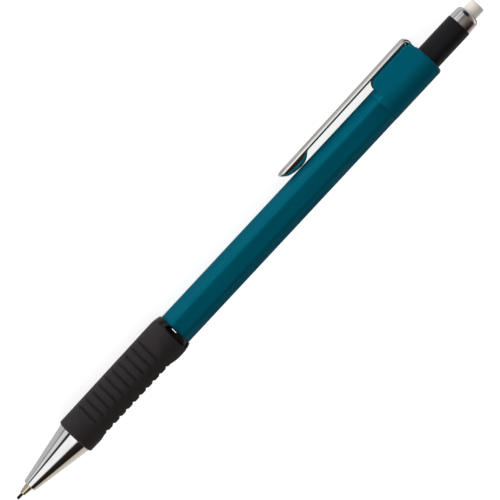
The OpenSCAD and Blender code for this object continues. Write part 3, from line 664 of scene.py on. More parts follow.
def rib_tree():
    """Node tree that presses three ribbed panels into a round grip and marks their grooves for painted
    shade.
    """
    tree = bpy.data.node_groups.new("Ribbed panels", "GeometryNodeTree")
    tree.interface.new_socket("Geometry", in_out="INPUT", socket_type="NodeSocketGeometry")
    for name in ("Offset", "Curve", "Ramp", "Blend", "First", "Pitch", "Width", "Depth", "Skin",
                 "Inside"):
        tree.interface.new_socket(name, in_out="INPUT", socket_type="NodeSocketFloat")
    tree.interface.new_socket("Count", in_out="INPUT", socket_type="NodeSocketInt")
    tree.interface.new_socket("Finish", in_out="INPUT", socket_type="NodeSocketMaterial")
    tree.interface.new_socket("Geometry", in_out="OUTPUT", socket_type="NodeSocketGeometry")
    given = add(tree, "NodeGroupInput").outputs
    place = add(tree, "GeometryNodeInputPosition")
    at = add(tree, "ShaderNodeSeparateXYZ", [place]).outputs
    flat = add(tree, "ShaderNodeVectorMath", [place, (1, 1, 0)], operation="MULTIPLY")
    radius = add(tree, "ShaderNodeVectorMath", [flat], operation="LENGTH").outputs["Value"]
    # Angle from the middle of the nearest panel; the panels lie 60, 180 and 300 degrees from the clip
    half_step = math.radians(60)
    angle = add(tree, "ShaderNodeMath", [at["Y"], at["X"]], operation="ARCTAN2")
    turn = add(tree, "ShaderNodeMath", [angle, half_step], operation="SUBTRACT")
    turn = add(tree, "ShaderNodeMath", [turn, half_step, -half_step], operation="WRAP")
    # Distance to the nearest groove, and how deep that groove is here
    last = add(tree, "ShaderNodeMath", [given["Count"], 1.0], operation="SUBTRACT")
    run = add(tree, "ShaderNodeMath", [at["Z"], given["First"]], operation="SUBTRACT")
    steps = add(tree, "ShaderNodeMath", [run, given["Pitch"]], operation="DIVIDE")
    nearest = add(tree, "ShaderNodeMath", [steps], operation="ROUND")
    nearest = add(tree, "ShaderNodeClamp", [nearest, 0.0, last])
    line = add(tree, "ShaderNodeMath", [nearest, given["Pitch"]], operation="MULTIPLY")
    away = add(tree, "ShaderNodeMath", [run, line], operation="SUBTRACT")
    away = add(tree, "ShaderNodeMath", [away], operation="ABSOLUTE")
    half = add(tree, "ShaderNodeMath", [given["Width"], 0.5], operation="MULTIPLY")
    groove = add(tree, "ShaderNodeMapRange", [away, 0.0, half, 1.0, 0.0],
                 interpolation_type="SMOOTHSTEP")
    sunk = add(tree, "ShaderNodeMath", [groove, given["Depth"]], operation="MULTIPLY")
    # Past the outer grooves the panel rises until it leaves the grip
    reach = add(tree, "ShaderNodeMath", [given["Pitch"], 0.5], operation="MULTIPLY")
    beyond = add(tree, "ShaderNodeMath", [away, reach], operation="SUBTRACT")
    beyond = add(tree, "ShaderNodeMath", [beyond, 0.0], operation="MAXIMUM")
    proud = add(tree, "ShaderNodeMath", [given["Skin"], given["Offset"]], operation="SUBTRACT")
    slope = add(tree, "ShaderNodeMath", [proud, given["Ramp"]], operation="DIVIDE")
    lift = add(tree, "ShaderNodeMath", [beyond, slope], operation="MULTIPLY")
    bow = add(tree, "ShaderNodeMath", [given["Curve"], sunk], operation="SUBTRACT")
    bow = add(tree, "ShaderNodeMath", [bow, lift], operation="ADD")
    # Radius of the panel's arc seen from the grip's axis
    back = add(tree, "ShaderNodeMath", [given["Curve"], given["Offset"]], operation="SUBTRACT")
    sine = add(tree, "ShaderNodeMath", [turn], operation="SINE")
    side = add(tree, "ShaderNodeMath", [back, sine], operation="MULTIPLY")
    side = add(tree, "ShaderNodeMath", [side, 2.0], operation="POWER")
    bow = add(tree, "ShaderNodeMath", [bow, 2.0], operation="POWER")
    root = add(tree, "ShaderNodeMath", [bow, side], operation="SUBTRACT")
    root = add(tree, "ShaderNodeMath", [root], operation="SQRT")
    cosine = add(tree, "ShaderNodeMath", [turn], operation="COSINE")
    behind = add(tree, "ShaderNodeMath", [back, cosine], operation="MULTIPLY")
    panel = add(tree, "ShaderNodeMath", [root, behind], operation="SUBTRACT")
    pressed = add(tree, "ShaderNodeMath", [radius, panel, given["Blend"]], operation="SMOOTH_MIN")
    share = add(tree, "ShaderNodeMath", [pressed, radius], operation="DIVIDE")
    scale = add(tree, "ShaderNodeCombineXYZ", [share, share, 1.0])
    moved = add(tree, "ShaderNodeVectorMath", [place, scale], operation="MULTIPLY")
    outer = add(tree, "ShaderNodeMath", [radius, given["Inside"]], operation="GREATER_THAN")
    # Grooves are marked for painted shade only where the panel lies clearly below the round body
    clearly = 0.2 * MM
    dent = add(tree, "ShaderNodeMath", [radius, panel], operation="SUBTRACT")
    within = add(tree, "ShaderNodeMapRange", [dent, 0.0, clearly, 0.0, 1.0])
    groove_shade_mark = add(tree, "ShaderNodeMath", [groove, within], operation="MULTIPLY")
    stored = add(tree, "GeometryNodeStoreNamedAttribute",
                 {"Geometry": given["Geometry"], "Selection": outer, "Name": "groove", "Value": groove_shade_mark})
    shaped = add(tree, "GeometryNodeSetPosition",
                 {"Geometry": stored, "Selection": outer, "Position": moved})
    real = add(tree, "GeometryNodeRealizeInstances", {"Geometry": shaped})
    finished = add(tree, "GeometryNodeSetMaterial", {"Geometry": real, "Material": given["Finish"]})
    add(tree, "NodeGroupOutput", {"Geometry": finished})
    return tree


class PENCIL_OT_grip(bpy.types.Operator):
    """Core with its collar, and the ribbed rubber over it"""

    bl_idname = "pencil.grip"
    bl_label = "Grip"

    def execute(self, context):
        sizes = context.scene.pencil_sizes
        begin, seam, barrel = front("grip_sleeve"), rear("grip_sleeve"), front("barrel")
        # Where rubber and collar meet, both edges are eased over two points
        ease, part = 0.06 * MM, 0.018 * MM

        # The collar's stations crowd towards the barrel, where its shoulder is steepest
        steps = 14
        stations = [barrel - (barrel - seam) * (i / steps) ** 2 for i in range(steps, -1, -1)]
        collar = [(shoulder(sizes, z), z) for z in stations]
        neck_bore, flange_stop = CONE_NECK + TIGHT_PLAY, begin + 7.9 * MM
        plug, plug_end = BARREL_BORE - TIGHT_PLAY, rear("grip_core")
        outline = [(neck_bore, begin), (CORE, begin), (CORE, seam)]
        outline += [(collar[0][0] - ease, seam), (collar[0][0] - part, seam + part)]
        outline += collar[1:]
        outline += [(plug, barrel), (plug, plug_end), (CLUTCH_ROOM, plug_end), (CLUTCH_ROOM, flange_stop),
                    (neck_bore, flange_stop)]
        settle("Core_and_collar", turned(outline), gloss_black(), "body", "black_gloss", "grip_core")

        # The ribs need closely set rows along the tapered body
        rows, shoulder_rows = 300, 8
        bore, edge = CORE + TIGHT_PLAY, sizes.grip_edge
        face, full = sizes.grip_front_d / 2, across("grip_sleeve") / 2
        body_z, turn_in = begin + edge, barrel - sizes.shoulder_length
        outline = [(bore, begin)]
        for degrees in range(0, 91, 10):
            turn = math.radians(degrees)
            outline.append((face - edge + edge * math.sin(turn), body_z - edge * math.cos(turn)))
        for i in range(1, rows + 1):
            share = i / rows
            outline.append((face + (full - face) * share, body_z + (turn_in - body_z) * share))
        for i in range(1, shoulder_rows):
            z = turn_in + (seam - turn_in) * i / shoulder_rows
            outline.append((shoulder(sizes, z), z))
        end = shoulder(sizes, seam)
        outline += [(end, seam - ease), (end - part, seam - part), (end - ease, seam), (bore, seam)]
        values = {"Offset": sizes.panel_offset, "Curve": sizes.panel_curve, "Ramp": sizes.panel_ramp,
                  "Blend": sizes.panel_blend, "First": sizes.groove_first, "Pitch": sizes.groove_pitch,
                  "Width": sizes.groove_width, "Depth": sizes.groove_depth, "Skin": full + 0.05 * MM,
                  "Inside": bore + 0.2 * MM, "Count": sizes.groove_count, "Finish": grip_rubber()}
        ribbed = grown(turned(outline), rib_tree(), values)
        settle("Ribbed_grip", ribbed, grip_rubber(), "body", "grip_rubber", "grip_sleeve")
        return {"FINISHED"}


def six_sided(inset):
    """Radius of the barrel's soft hexagon by angle, drawn in by an inset; an edge points to the clip."""
    half_side = math.radians(30)
    flat = (box("barrel")[1].y - box("barrel")[0].y) / 2
    edge = across("barrel") / 2
    rounding = (edge - flat / math.cos(half_side)) / (1 - 1 / math.cos(half_side))
    centre = edge - rounding
    touch = math.atan2(rounding / 2, centre + rounding * math.cos(half_side))

    def radius(angle):
        off = abs((angle + half_side) % (2 * half_side) - half_side)
        if off < touch:
            root = math.sqrt(rounding ** 2 - (centre * math.sin(off)) ** 2)
            return centre * math.cos(off) + root - inset
        return flat / math.cos(half_side - off) - inset

    return radius


class PENCIL_OT_barrel(bpy.types.Operator):
    """Hexagonal barrel with soft edges and a round seat for the housing"""

    bl_idname = "pencil.barrel"
    bl_label = "Barrel"

    def execute(self, context):
        begin, seam, end = front("barrel"), front("clip_housing"), rear("barrel")
        ease, seam_ease = 0.12 * MM, 0.06 * MM
        rows = 12
        rings = [ring(begin, BARREL_BORE)]
        for degrees in (90, 60, 30, 0):
            turn = math.radians(degrees)
            rings.append(ring(begin + ease * (1 - math.sin(turn)), six_sided(ease * (1 - math.cos(turn)))))
        rings += [ring(begin + (seam - begin) * i / rows, six_sided(0)) for i in range(1, rows)]
        for degrees in (0, 45, 90):
            turn = math.radians(degrees)
            rings.append(ring(seam - seam_ease * (1 - math.sin(turn)),
                              six_sided(seam_ease * (1 - math.cos(turn)))))
        rings += [ring(seam, HOUSING_SEAT), ring(end, HOUSING_SEAT), ring(end, BARREL_BORE)]
        settle("Barrel", skin(rings, closed=True), moulded_teal(), "body", "teal_gloss", "barrel")
        return {"FINISHED"}


def lug_section(sizes, body, top):
    """Radius of the housing by angle: a round body whose flanks run up to a lug of a given height."""
    half = sizes.lug_width / 2
    full = across("barrel") / 2
    touch = math.atan2(half, sizes.lug_reach) + math.acos(full / math.hypot(half, sizes.lug_reach))
    soft = sizes.lug_edge

    def radius(angle):
        off = abs((angle + math.pi) % (2 * math.pi) - math.pi)
        if off >= touch or top < body:
            return body
        flank = full / math.cos(touch - off)
        level = top / math.cos(off)
        blend = max(soft - abs(flank - level), 0) / soft
        return max(body, min(flank, level) - blend * blend * soft / 4)

    return radius


class PENCIL_OT_housing(bpy.types.Operator):
    """Clip housing with its lug and the slot for the clip's tongue"""

    bl_idname = "pencil.housing"
    bl_label = "Clip housing"

    def execute(self, context):
        sizes = context.scene.pencil_sizes
        seam, end = front("clip_housing"), rear("clip_housing")
        body, rim = across("barrel") / 2, sizes.housing_rim
        nose, reach = sizes.lug_nose, sizes.lug_reach
        # The lug runs from behind the seam to the rear rim; from a ledge on, the clip's bend covers it
        lug_z, lug_end = seam + 1.5 * MM, end - 0.4 * MM
        ledge_z, ledge = CLIP_PIVOT.z + 0.225 * MM, CLIP_PIVOT.x - 0.1 * MM
        ease, part = 0.06 * MM, 0.018 * MM
        # Each row has its station, the round body's radius and the lug's height
        rows = [(seam, body - ease, 0), (seam + part, body - part, 0), (seam + ease, body, 0)]
        for degrees in range(0, 91, 6):
            turn = math.radians(degrees)
            rows.append((lug_z + nose * (1 - math.cos(turn)), body, reach - nose + nose * math.sin(turn)))
        rows += [(ledge_z - 0.1 * MM, body, reach), (ledge_z, body, reach - 0.08 * MM),
                 (ledge_z, body, ledge)]
        # The ledge falls off a little just before it ends
        fall, fall_slope = 0.2 * MM, 0.4
        for degrees in range(0, 91, 9):
            turn = math.radians(degrees)
            z = end - rim + rim * math.sin(turn)
            r = body - rim + rim * math.cos(turn)
            if z < lug_end:
                rows.append((z, r, ledge - max(0, z - lug_end + fall) * fall_slope))
                continue
            if rows[-1][2] > 0:
                between = (r + rows[-1][1]) / 2
                rows += [(lug_end, between, ledge - fall), (lug_end, between, 0)]
            rows.append((z, r, 0))
        rings = [ring(z, lug_section(sizes, r, top), FINE_SEGMENTS) for z, r, top in rows]
        seat, seat_end, bore = HOUSING_SEAT + TIGHT_PLAY, seam + 5.65 * MM, 3.13 * MM
        rings += [ring(z, r, FINE_SEGMENTS)
                  for z, r in ((end, bore), (seat_end, bore), (seat_end, seat), (seam, seat))]
        holder = hold(skin(rings, closed=True))

        # The slot has play round the tongue, and opens behind the ledge, past lug and rear end
        play = 0.12 * MM
        half = sizes.tongue_width / 2 + play
        slot_z, slot_floor = CLIP_PIVOT.z - sizes.tongue_length - play, 4.2 * MM
        slot_roof = slot_floor + sizes.clip_thickness + 2 * play
        past_lug, past_end = 8 * MM, end + 1 * MM
        profile = [(slot_floor, slot_z), (slot_roof, slot_z), (slot_roof, ledge_z), (past_lug, ledge_z),
                   (past_lug, past_end), (slot_floor, past_end)]
        sides = [[Vector((x, y, z)) for x, z in profile] for y in (-half, half)]
        cutter = hold(skin(sides, False, (0, -1)))
        cut = holder.modifiers.new("Slot", "BOOLEAN")
        cut.operation = "DIFFERENCE"
        cut.solver = "EXACT"
        cut.object = cutter
        mesh = release(holder)
        bpy.data.objects.remove(cutter)
        settle("Clip_housing", mesh, moulded_teal(), "body", "teal_gloss", "clip_housing")
        return {"FINISHED"}


def lens(span, depth, off):
    """Depth of a round lens of a given span at a distance from its middle."""
    curve = (span ** 2 / 4 + depth ** 2) / (2 * depth)
    return max(0, math.sqrt(max(0, curve ** 2 - off ** 2)) - curve + depth)


# Side of the stamped strip, from its outer face round a crisp edge, a bulging side and a soft inner edge:
# each arc has its begin and end in degrees and its radius as a share of the thickness
STRIP_ARCS = ((0, 64, 0.1), (64, 90, 0.86), (90, 180, 0.567))
ARC_STEPS = 6
# Steps from the middle of a face to its side
FACE_STEPS = 7
# Keel and dish: half widths as shares of the strip's width, the dish's half length as a share of the
# keel's, and the powers that make the keel full and the dish soft
KEEL_HALF, KEEL_POWER = 0.48, 0.75
DISH_HALF, DISH_POWER, DISH_RUN = 0.25, 2, 0.76


def strip_side(thick):
    """Half of the strip's outline, as distances outwards and up from the end of its outer face."""
    side, up = 0, thick / 2
    points = [(side, up)]
    for begin, end, share in STRIP_ARCS:
        turns = [math.radians(begin + (end - begin) * k / ARC_STEPS) for k in range(ARC_STEPS + 1)]
        for before, now in zip(turns, turns[1:]):
            side += share * thick * (math.sin(now) - math.sin(before))
            up += share * thick * (math.cos(now) - math.cos(before))
            points.append((side, up))
    return points


def strip_ring(sizes, centre, normal, half, thick, crown, run, swing=math.pi / 2):
    """Points round the strip at a run from the free end; a smaller swing turns them round that end."""
    bulge = strip_side(thick)
    reach = max(side for side, up in bulge)
    flank = [(half + side - reach, up) for side, up in bulge]
    across_face = [i / FACE_STEPS - 1 for i in range(1, 2 * FACE_STEPS)]
    section = [(flank[0][0] * share, flank[0][1]) for share in across_face]
    section += flank
    section += [(-flank[-1][0] * share, flank[-1][1]) for share in across_face]
    section += [(-side, up) for side, up in reversed(flank)]
    lean = Matrix.Translation(CLIP_PIVOT) @ Matrix.Rotation(sizes.clip_lean, 4, "Y")
    points = []
    for side, up in section:
        aside = side * math.sin(swing)
        ahead = max(abs(side), flank[0 if up > 0 else -1][0]) * math.cos(swing)
        off = run - ahead - sizes.keel_peak
        share = off / (sizes.keel_peak if off < 0 else sizes.keel_length - sizes.keel_peak)
        keel = lens(sizes.keel_length, sizes.keel_depth, share * sizes.keel_length / 2)
        boat = keel * max(0, 1 - (aside / (KEEL_HALF * sizes.clip_width)) ** 2) ** KEEL_POWER
        hollow = sizes.dish_depth * max(0, 1 - (share / DISH_RUN) ** 2)
        dish = hollow * max(0, 1 - (aside / (DISH_HALF * sizes.clip_width)) ** 2) ** DISH_POWER
        rise = crown * (1 - (aside ** 2 + ahead ** 2) / half ** 2)
        drop = boat if up < 0 else (dish - rise) * 2 * up / thick
        at = centre + normal * (up - drop) + Vector((0, aside, -ahead))
        points.append(lean @ (at - CLIP_PIVOT))
    return points


class PENCIL_OT_clip(bpy.types.Operator):
    """Stamped clip: rounded free end, pressed keel, hairpin bend and tongue"""

    bl_idname = "pencil.clip"
    bl_label = "Clip"

    def execute(self, context):
        sizes = context.scene.pencil_sizes
        half, thick, bend = sizes.clip_width / 2, sizes.clip_thickness, sizes.clip_bend
        roll, crown, tongue = sizes.clip_roll, sizes.clip_crown, sizes.tongue_width / 2
        free = front("clip")
        run = CLIP_PIVOT.z - free
        outer = Vector((1, 0, 0))
        rings = []
        # The free end is a half circle over which the strip thins
        for degrees in range(0, 90, 6):
            swing = math.radians(degrees)
            thinned = max(0, 1 - half * (1 - math.cos(swing)) / sizes.clip_thinning_run)
            thin = thick + roll - sizes.clip_thinning * thinned
            centre = Vector((CLIP_PIVOT.x + bend + roll - thin / 2, 0, free + half))
            rings.append(strip_ring(sizes, centre, outer, half, thin, crown, half, swing))
        # Rings stand close together over the keel and wide apart behind it
        close, wide, wide_begin = 0.3 * MM, 2.5 * MM, 9.5 * MM
        places = [half + close * i for i in range(25)] + [wide_begin + wide * i for i in range(12)]
        for place in places:
            centre = Vector((CLIP_PIVOT.x + bend + (roll - thick) / 2, 0, free + place))
            rings.append(strip_ring(sizes, centre, outer, half, thick + roll, crown, place))
        # The bend loses its fullness; its corners are round where the narrower tongue begins
        corner, corner_begin, corner_end = 0.25 * MM, 78, 90
        turns = [(degrees, half) for degrees in range(0, corner_begin, 6)]
        for degrees in range(corner_begin, corner_end + 1, 2):
            share = (degrees - corner_begin) / (corner_end - corner_begin)
            turns.append((degrees, half - corner * (1 - math.sqrt(1 - share ** 2))))
        turns += [(degrees, tongue) for degrees in (92, *range(96, 181, 6))]
        for degrees, width in turns:
            turn = math.radians(degrees)
            normal = Vector((math.cos(turn), 0, math.sin(turn)))
            full = max(0, math.cos(turn))
            middle = CLIP_PIVOT + normal * (bend + (full * roll - thick) / 2)
            rings.append(strip_ring(sizes, middle, normal, width, thick + full * roll, full * crown, run))
        # The tongue is slimmer at its very end
        slimmer = 0.16 * MM
        for share in (4 / 11, 8 / 11, 10 / 11, 1):
            centre = CLIP_PIVOT + Vector((thick / 2 - bend, 0, -share * sizes.tongue_length))
            slim = thick - (slimmer if share == 1 else 0)
            rings.append(strip_ring(sizes, centre, -outer, tongue, slim, 0, run))
        mesh = skin(rings, False, (-1,))
        settle("Clip", mesh, clip_strip_steel(), "pocket_clip", "clip_steel", "clip")
        return {"FINISHED"}


class PENCIL_OT_eraser_end(bpy.types.Operator):
    """Twist sleeve, domed ferrule and eraser"""

    bl_idname = "pencil.eraser_end"
    bl_label = "Eraser end"

    def execute(self, context):
        sizes = context.scene.pencil_sizes
        sleeve, begin, end = across("twist_sleeve") / 2, front("twist_sleeve"), rear("twist_sleeve")
        ferrule, mouth = front("end_ferrule"), rear("end_ferrule")
        bore, neck = 2.47 * MM, 2.67 * MM
        front_edge, step_edge = 0.15 * MM, 0.08 * MM
        outline = rounded([
            (bore, begin, 0), (sleeve, begin, front_edge), (sleeve, ferrule, step_edge), (neck, ferrule, 0),
            (neck, end, CRISP), (bore, end, 0)])
        settle("Twist_sleeve", turned(outline), satin_black(), "twist_knob", "black_satin", "twist_sleeve")

        # A thin cup: a straight skirt, a dome that is set in a little, and a lip round the eraser
        skirt, wall, dome = across("end_ferrule") / 2, 0.2 * MM, sizes.ferrule_dome
        set_in, eraser_play = 0.1 * MM, 0.12 * MM
        centre, dome_z = skirt - set_in - dome, mouth - dome
        radius = across("eraser") / 2
        lip = radius + eraser_play
        arc = [math.radians(degrees) for degrees in range(0, 81, 8)]
        outline = [(skirt - wall, ferrule), (skirt - CRISP, ferrule), (skirt, ferrule + CRISP)]
        outline += [(centre + dome * math.cos(turn), dome_z + dome * math.sin(turn)) for turn in arc]
        outline += [(lip, mouth), (lip, mouth - wall)]
        inside = dome - wall
        outline += [(centre + inside * math.cos(turn), dome_z + inside * math.sin(turn))
                    for turn in reversed(arc)]
        settle("End_ferrule", turned(outline), chrome_plating(), "twist_knob", "chrome", "end_ferrule")

        foot, end = front("eraser"), rear("eraser")
        foot_edge, flat = 0.1 * MM, 0.4 * radius
        outline = rounded([(0, foot, 0), (radius, foot, foot_edge), (radius, end, sizes.eraser_edge),
                           (flat, end, 0), (0, end, 0)])
        settle("Eraser", turned(outline), eraser_vinyl(), "eraser_slider", "eraser_vinyl", "eraser")
        paint(satin_black(), "guide_tube")
        paint(natural_acetal(), "eraser_carrier")
        return {"FINISHED"}


def spring_tree():
    """Node tree that winds a wire into a spring along Z."""
    tree = bpy.data.node_groups.new("Coil spring", "GeometryNodeTree")
    for name in ("Radius", "Turns", "Start", "Height", "Wire"):
        tree.interface.new_socket(name, in_out="INPUT", socket_type="NodeSocketFloat")
    tree.interface.new_socket("Finish", in_out="INPUT", socket_type="NodeSocketMaterial")
    tree.interface.new_socket("Geometry", in_out="OUTPUT", socket_type="NodeSocketGeometry")
    given = add(tree, "NodeGroupInput").outputs
    path = add(tree, "GeometryNodeCurveSpiral",
               {"Resolution": 36, "Rotations": given["Turns"], "Start Radius": given["Radius"],
                "End Radius": given["Radius"], "Height": given["Height"]})
    half = add(tree, "ShaderNodeMath", [given["Wire"], 0.5], operation="MULTIPLY")
    section = add(tree, "GeometryNodeCurvePrimitiveCircle", {"Resolution": 12, "Radius": half})
    coil = add(tree, "GeometryNodeCurveToMesh",
               {"Curve": path, "Profile Curve": section, "Fill Caps": True})
    shift = add(tree, "ShaderNodeCombineXYZ", {"Z": given["Start"]})
    placed = add(tree, "GeometryNodeTransform", {"Geometry": coil, "Translation": shift})
    real = add(tree, "GeometryNodeRealizeInstances", {"Geometry": placed})
    finished = add(tree, "GeometryNodeSetMaterial", {"Geometry": real, "Material": given["Finish"]})
    add(tree, "NodeGroupOutput", {"Geometry": finished})
    return tree


class PENCIL_OT_mechanism(bpy.types.Operator):
    """Return spring on the push unit, and the finishes of the pieces inside"""

    bl_idname = "pencil.mechanism"
    bl_label = "Mechanism"

    def execute(self, context):
        sizes = context.scene.pencil_sizes
        low, high = box("return_spring")
        thick, span = sizes.spring_wire, high.x - low.x
        values = {"Radius": (across("return_spring") - thick) / 2, "Turns": sizes.spring_turns,
                  "Start": front("return_spring") + thick / 2, "Height": span - thick, "Wire": thick,
                  "Finish": drawn_spring_steel()}
        coil = grown(bpy.data.meshes.new("bench"), spring_tree(), values)
        spring = settle("Return_spring", coil, drawn_spring_steel(), "push_unit", "spring_steel",
                        "return_spring")
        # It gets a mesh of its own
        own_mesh(spring)
        paint(turned_brass(), "chuck", "clutch_ring", "clutch_sleeve")
        paint(natural_acetal(), "chuck_connector", "lead_reservoir")
        paint(retainer_rubber(), "lead_retainer")
        return {"FINISHED"}


# Studio


def floor_finish():
    """Matt white paper that stays white to the camera, pale in reflections, and keeps the shadow."""
    made, tree, shader, place = start("White paper")
    fibre = add(tree, "ShaderNodeTexNoise", {"Vector": place, "Scale": per(4), "Detail": 2})
    tone = add(tree, "ShaderNodeMapRange", [fibre, 0.3, 0.7, 0.78, 0.8])
    paper = add(tree, "ShaderNodeBsdfDiffuse", {"Color": tone})
    rays = add(tree, "ShaderNodeLightPath").outputs
    seen = add(tree, "ShaderNodeMath", [rays["Is Camera Ray"], rays["Is Transmission Ray"]],
               operation="ADD", use_clamp=True)
    level = add(tree, "ShaderNodeMath", [seen, 0.8], operation="MULTIPLY")
    lit = add(tree, "ShaderNodeAddShader", [paper, add(tree, "ShaderNodeEmission", {"Strength": level})])
    # Painted shade in reflections: grey paper near the pencil, a darker band beside it, darker behind its
    # end
    at = add(tree, "ShaderNodeSeparateXYZ", [place]).outputs
    aside = add(tree, "ShaderNodeMath", [at["Y"], BENCH.translation.y], operation="SUBTRACT")
    aside = add(tree, "ShaderNodeMath", [aside], operation="ABSOLUTE")
    shade_reach = 25 * MM
    share = add(tree, "ShaderNodeMath", [aside, shade_reach], operation="DIVIDE")
    near, dim, far = (shaded(linear(code), 1) for code in ("#bebebe", "#8c8c8c", "#dcdcdc"))
    shade = add(tree, "ShaderNodeValToRGB", [share],
                [(0.36, near), (0.46, dim), (0.56, dim), (0.64, far)])
    dark_x, light_x = CAD_BOX[0].x - 14 * MM, CAD_BOX[0].x - 2 * MM
    behind = add(tree, "ShaderNodeMapRange", [at["X"], dark_x, light_x, 0.1, 1.0])
    shade = add(tree, "ShaderNodeMath", [shade, behind], operation="MULTIPLY")
    # Under the clip the reflected paper gets a painted shade that is nearly dark
    low, high = box("clip")
    under = add(tree, "ShaderNodeMath", [at["X"], (low.x + high.x) / 2, (high.x - low.x) / 2],
                operation="COMPARE")
    deep, edge = 4 * MM, 6.5 * MM
    close = add(tree, "ShaderNodeMapRange", [aside, deep, edge, 0.85, 0.0])
    hidden = add(tree, "ShaderNodeMath", [under, close], operation="MULTIPLY")
    left = add(tree, "ShaderNodeMath", [1.0, hidden], operation="SUBTRACT")
    shade = add(tree, "ShaderNodeMath", [shade, left], operation="MULTIPLY")
    mirrored = add(tree, "ShaderNodeEmission", {"Strength": shade})
    both = add(tree, "ShaderNodeMixShader", [rays["Is Glossy Ray"], lit, mirrored])
    tree.nodes.remove(shader)
    wire(tree, tree.nodes["Material Output"], {"Surface": both})
    return made


def flag_finish():
    """Black velvet of the low card that keeps the floor out of reflections on the shadow side."""
    made, tree, shader, place = start("Black velvet")
    pile = add(tree, "ShaderNodeTexNoise", {"Vector": place, "Scale": per(2), "Detail": 2})
    tone = add(tree, "ShaderNodeMapRange", [pile, 0.3, 0.7, 0.002, 0.006])
    wire(tree, shader, {"Base Color": tone, "Roughness": 0.9, "Specular IOR Level": 0})
    return made


# The studio that the pieces mirror: greys by degrees from the front horizon, over the ceiling, to the back
# one. Walls stand beside the pencil, before its tip and behind its end; the last two have the X of the
# mirrored direction at which they begin and at which they are full.
WALLS_BESIDE = ((6, "#f0eaea"), (27, "#7e7674"), (50, "#94857e"), (85, "#554d46"), (112, "#241d18"),
                (140, "#1c110c"), (180, "#c8b4b0"))
WALLS_BEFORE = ((0, "#a8a8a8"), (6, "#303032"), (18, "#303032"), (22, "#ffffff"), (74, "#ffffff"),
                (86, "#2c2622"), (136, "#181210"), (149, "#cfc2b4"), (180, "#cfc2b4"))
WALLS_BEHIND = ((0, "#25252d"), (50, "#25252d"), (80, "#82786f"), (138, "#82786f"), (147, "#e8e0da"))
BEFORE_BEGIN, BEFORE_FULL = -0.066, -0.059
BEHIND_BEGIN, BEHIND_FULL = -0.14, -0.3


def room(studio):
    """World: white behind the floor, a studio with a dark ceiling in reflections, even light elsewhere."""
    world = bpy.data.worlds.new("Studio")
    world.use_nodes = True
    tree = world.node_tree
    tree.nodes.clear()
    direction = add(tree, "ShaderNodeTexCoord").outputs["Generated"]
    aim = add(tree, "ShaderNodeSeparateXYZ", [direction]).outputs
    ahead = add(tree, "ShaderNodeMath", [aim["Y"], -1.0], operation="MULTIPLY")
    rise = add(tree, "ShaderNodeMath", [aim["Z"], ahead], operation="ARCTAN2")
    share = add(tree, "ShaderNodeMath", [rise, math.pi], operation="DIVIDE")
    beside, before, behind = (
        add(tree, "ShaderNodeValToRGB", [share],
            [(degrees / 180, shaded(linear(code), 1)) for degrees, code in stops])
        for stops in (WALLS_BESIDE, WALLS_BEFORE, WALLS_BEHIND))
    walls = beside
    for wall, begin, full in ((before, BEFORE_BEGIN, BEFORE_FULL), (behind, BEHIND_BEGIN, BEHIND_FULL)):
        part = add(tree, "ShaderNodeMapRange", [aim["X"], begin, full, 0.0, 1.0])
        joined = add(tree, "ShaderNodeMix", data_type="RGBA")
        wire(tree, joined, {MIX_SHARE: part, MIX_FIRST: walls, MIX_SECOND: wall})
        walls = joined.outputs[MIX_RESULT]
    rays = add(tree, "ShaderNodeLightPath").outputs
    mirrored = add(tree, "ShaderNodeBackground", {"Color": walls, "Strength": 1})
    even = add(tree, "ShaderNodeBackground", {"Color": (1, 1, 1, 1), "Strength": studio.ambient})
    white = add(tree, "ShaderNodeBackground", {"Color": (1, 1, 1, 1), "Strength": 1})
    lit = add(tree, "ShaderNodeMixShader", [rays["Is Glossy Ray"], even, mirrored])
    clear = add(tree, "ShaderNodeMath", [rays["Is Camera Ray"], rays["Is Transmission Ray"]],
                operation="ADD", use_clamp=True)
    seen = add(tree, "ShaderNodeMixShader", [clear, lit, white])
    add(tree, "ShaderNodeOutputWorld", {"Surface": seen})
    return world


# Lamps by their place from the pencil's middle, and by their width and height, in metres
KEY_PLACE, KEY_SIZE = Vector((0.6, -1.05, 0.1)), (1.6, 0.2)
FILL_PLACE, FILL_SIZE = Vector((0, 1.05, 0.25)), (1.6, 0.2)
STRIP_PLACE, STRIP_SIZE = Vector((0, -1.2, 0.1)), (1.2, 0.2)
# The bounce lies on the paper in front of the pencil and faces up
BOUNCE_OFF, BOUNCE_SIZE = 45 * MM, (0.3, 0.07)
# The spot is tilted from the camera's direction until its glint lies on the collar
SPOT_TILT, SPOT_DISTANCE, SPOT_SIZE = math.radians(49), 0.6, (0.12, 0.28)


def lamp(name, place, target, size, power, mirrored_in=()):
    """An area lamp that faces a target and lights all, or one that is only mirrored in some pieces."""
    data = bpy.data.lights.new(name, "AREA")
    data.shape = "RECTANGLE"
    data.size, data.size_y = size
    data.energy = power
    made = bpy.data.objects.new(name, data)
    bpy.context.collection.objects.link(made)
    back = (place - target).normalized()
    upright = back.cross(Vector((1, 0, 0))).normalized()
    stance = Matrix((upright.cross(back), upright, back)).transposed()
    made.matrix_world = Matrix.Translation(place) @ stance.to_4x4()
    made.visible_camera = False
    if mirrored_in:
        made.visible_diffuse = False
        made.light_linking.receiver_collection = bpy.data.collections.new(name)
        for piece in mirrored_in:
            made.light_linking.receiver_collection.objects.link(bpy.data.objects[piece])
    else:
        made.visible_glossy = False


def card(name, corners, finish):
    """A flat piece of the stage."""
    mesh = bpy.data.meshes.new(name)
    mesh.from_pydata(corners, [], [range(len(corners))])
    mesh.materials.append(finish)
    made = bpy.data.objects.new(name, mesh)
    bpy.context.collection.objects.link(made)
    return made


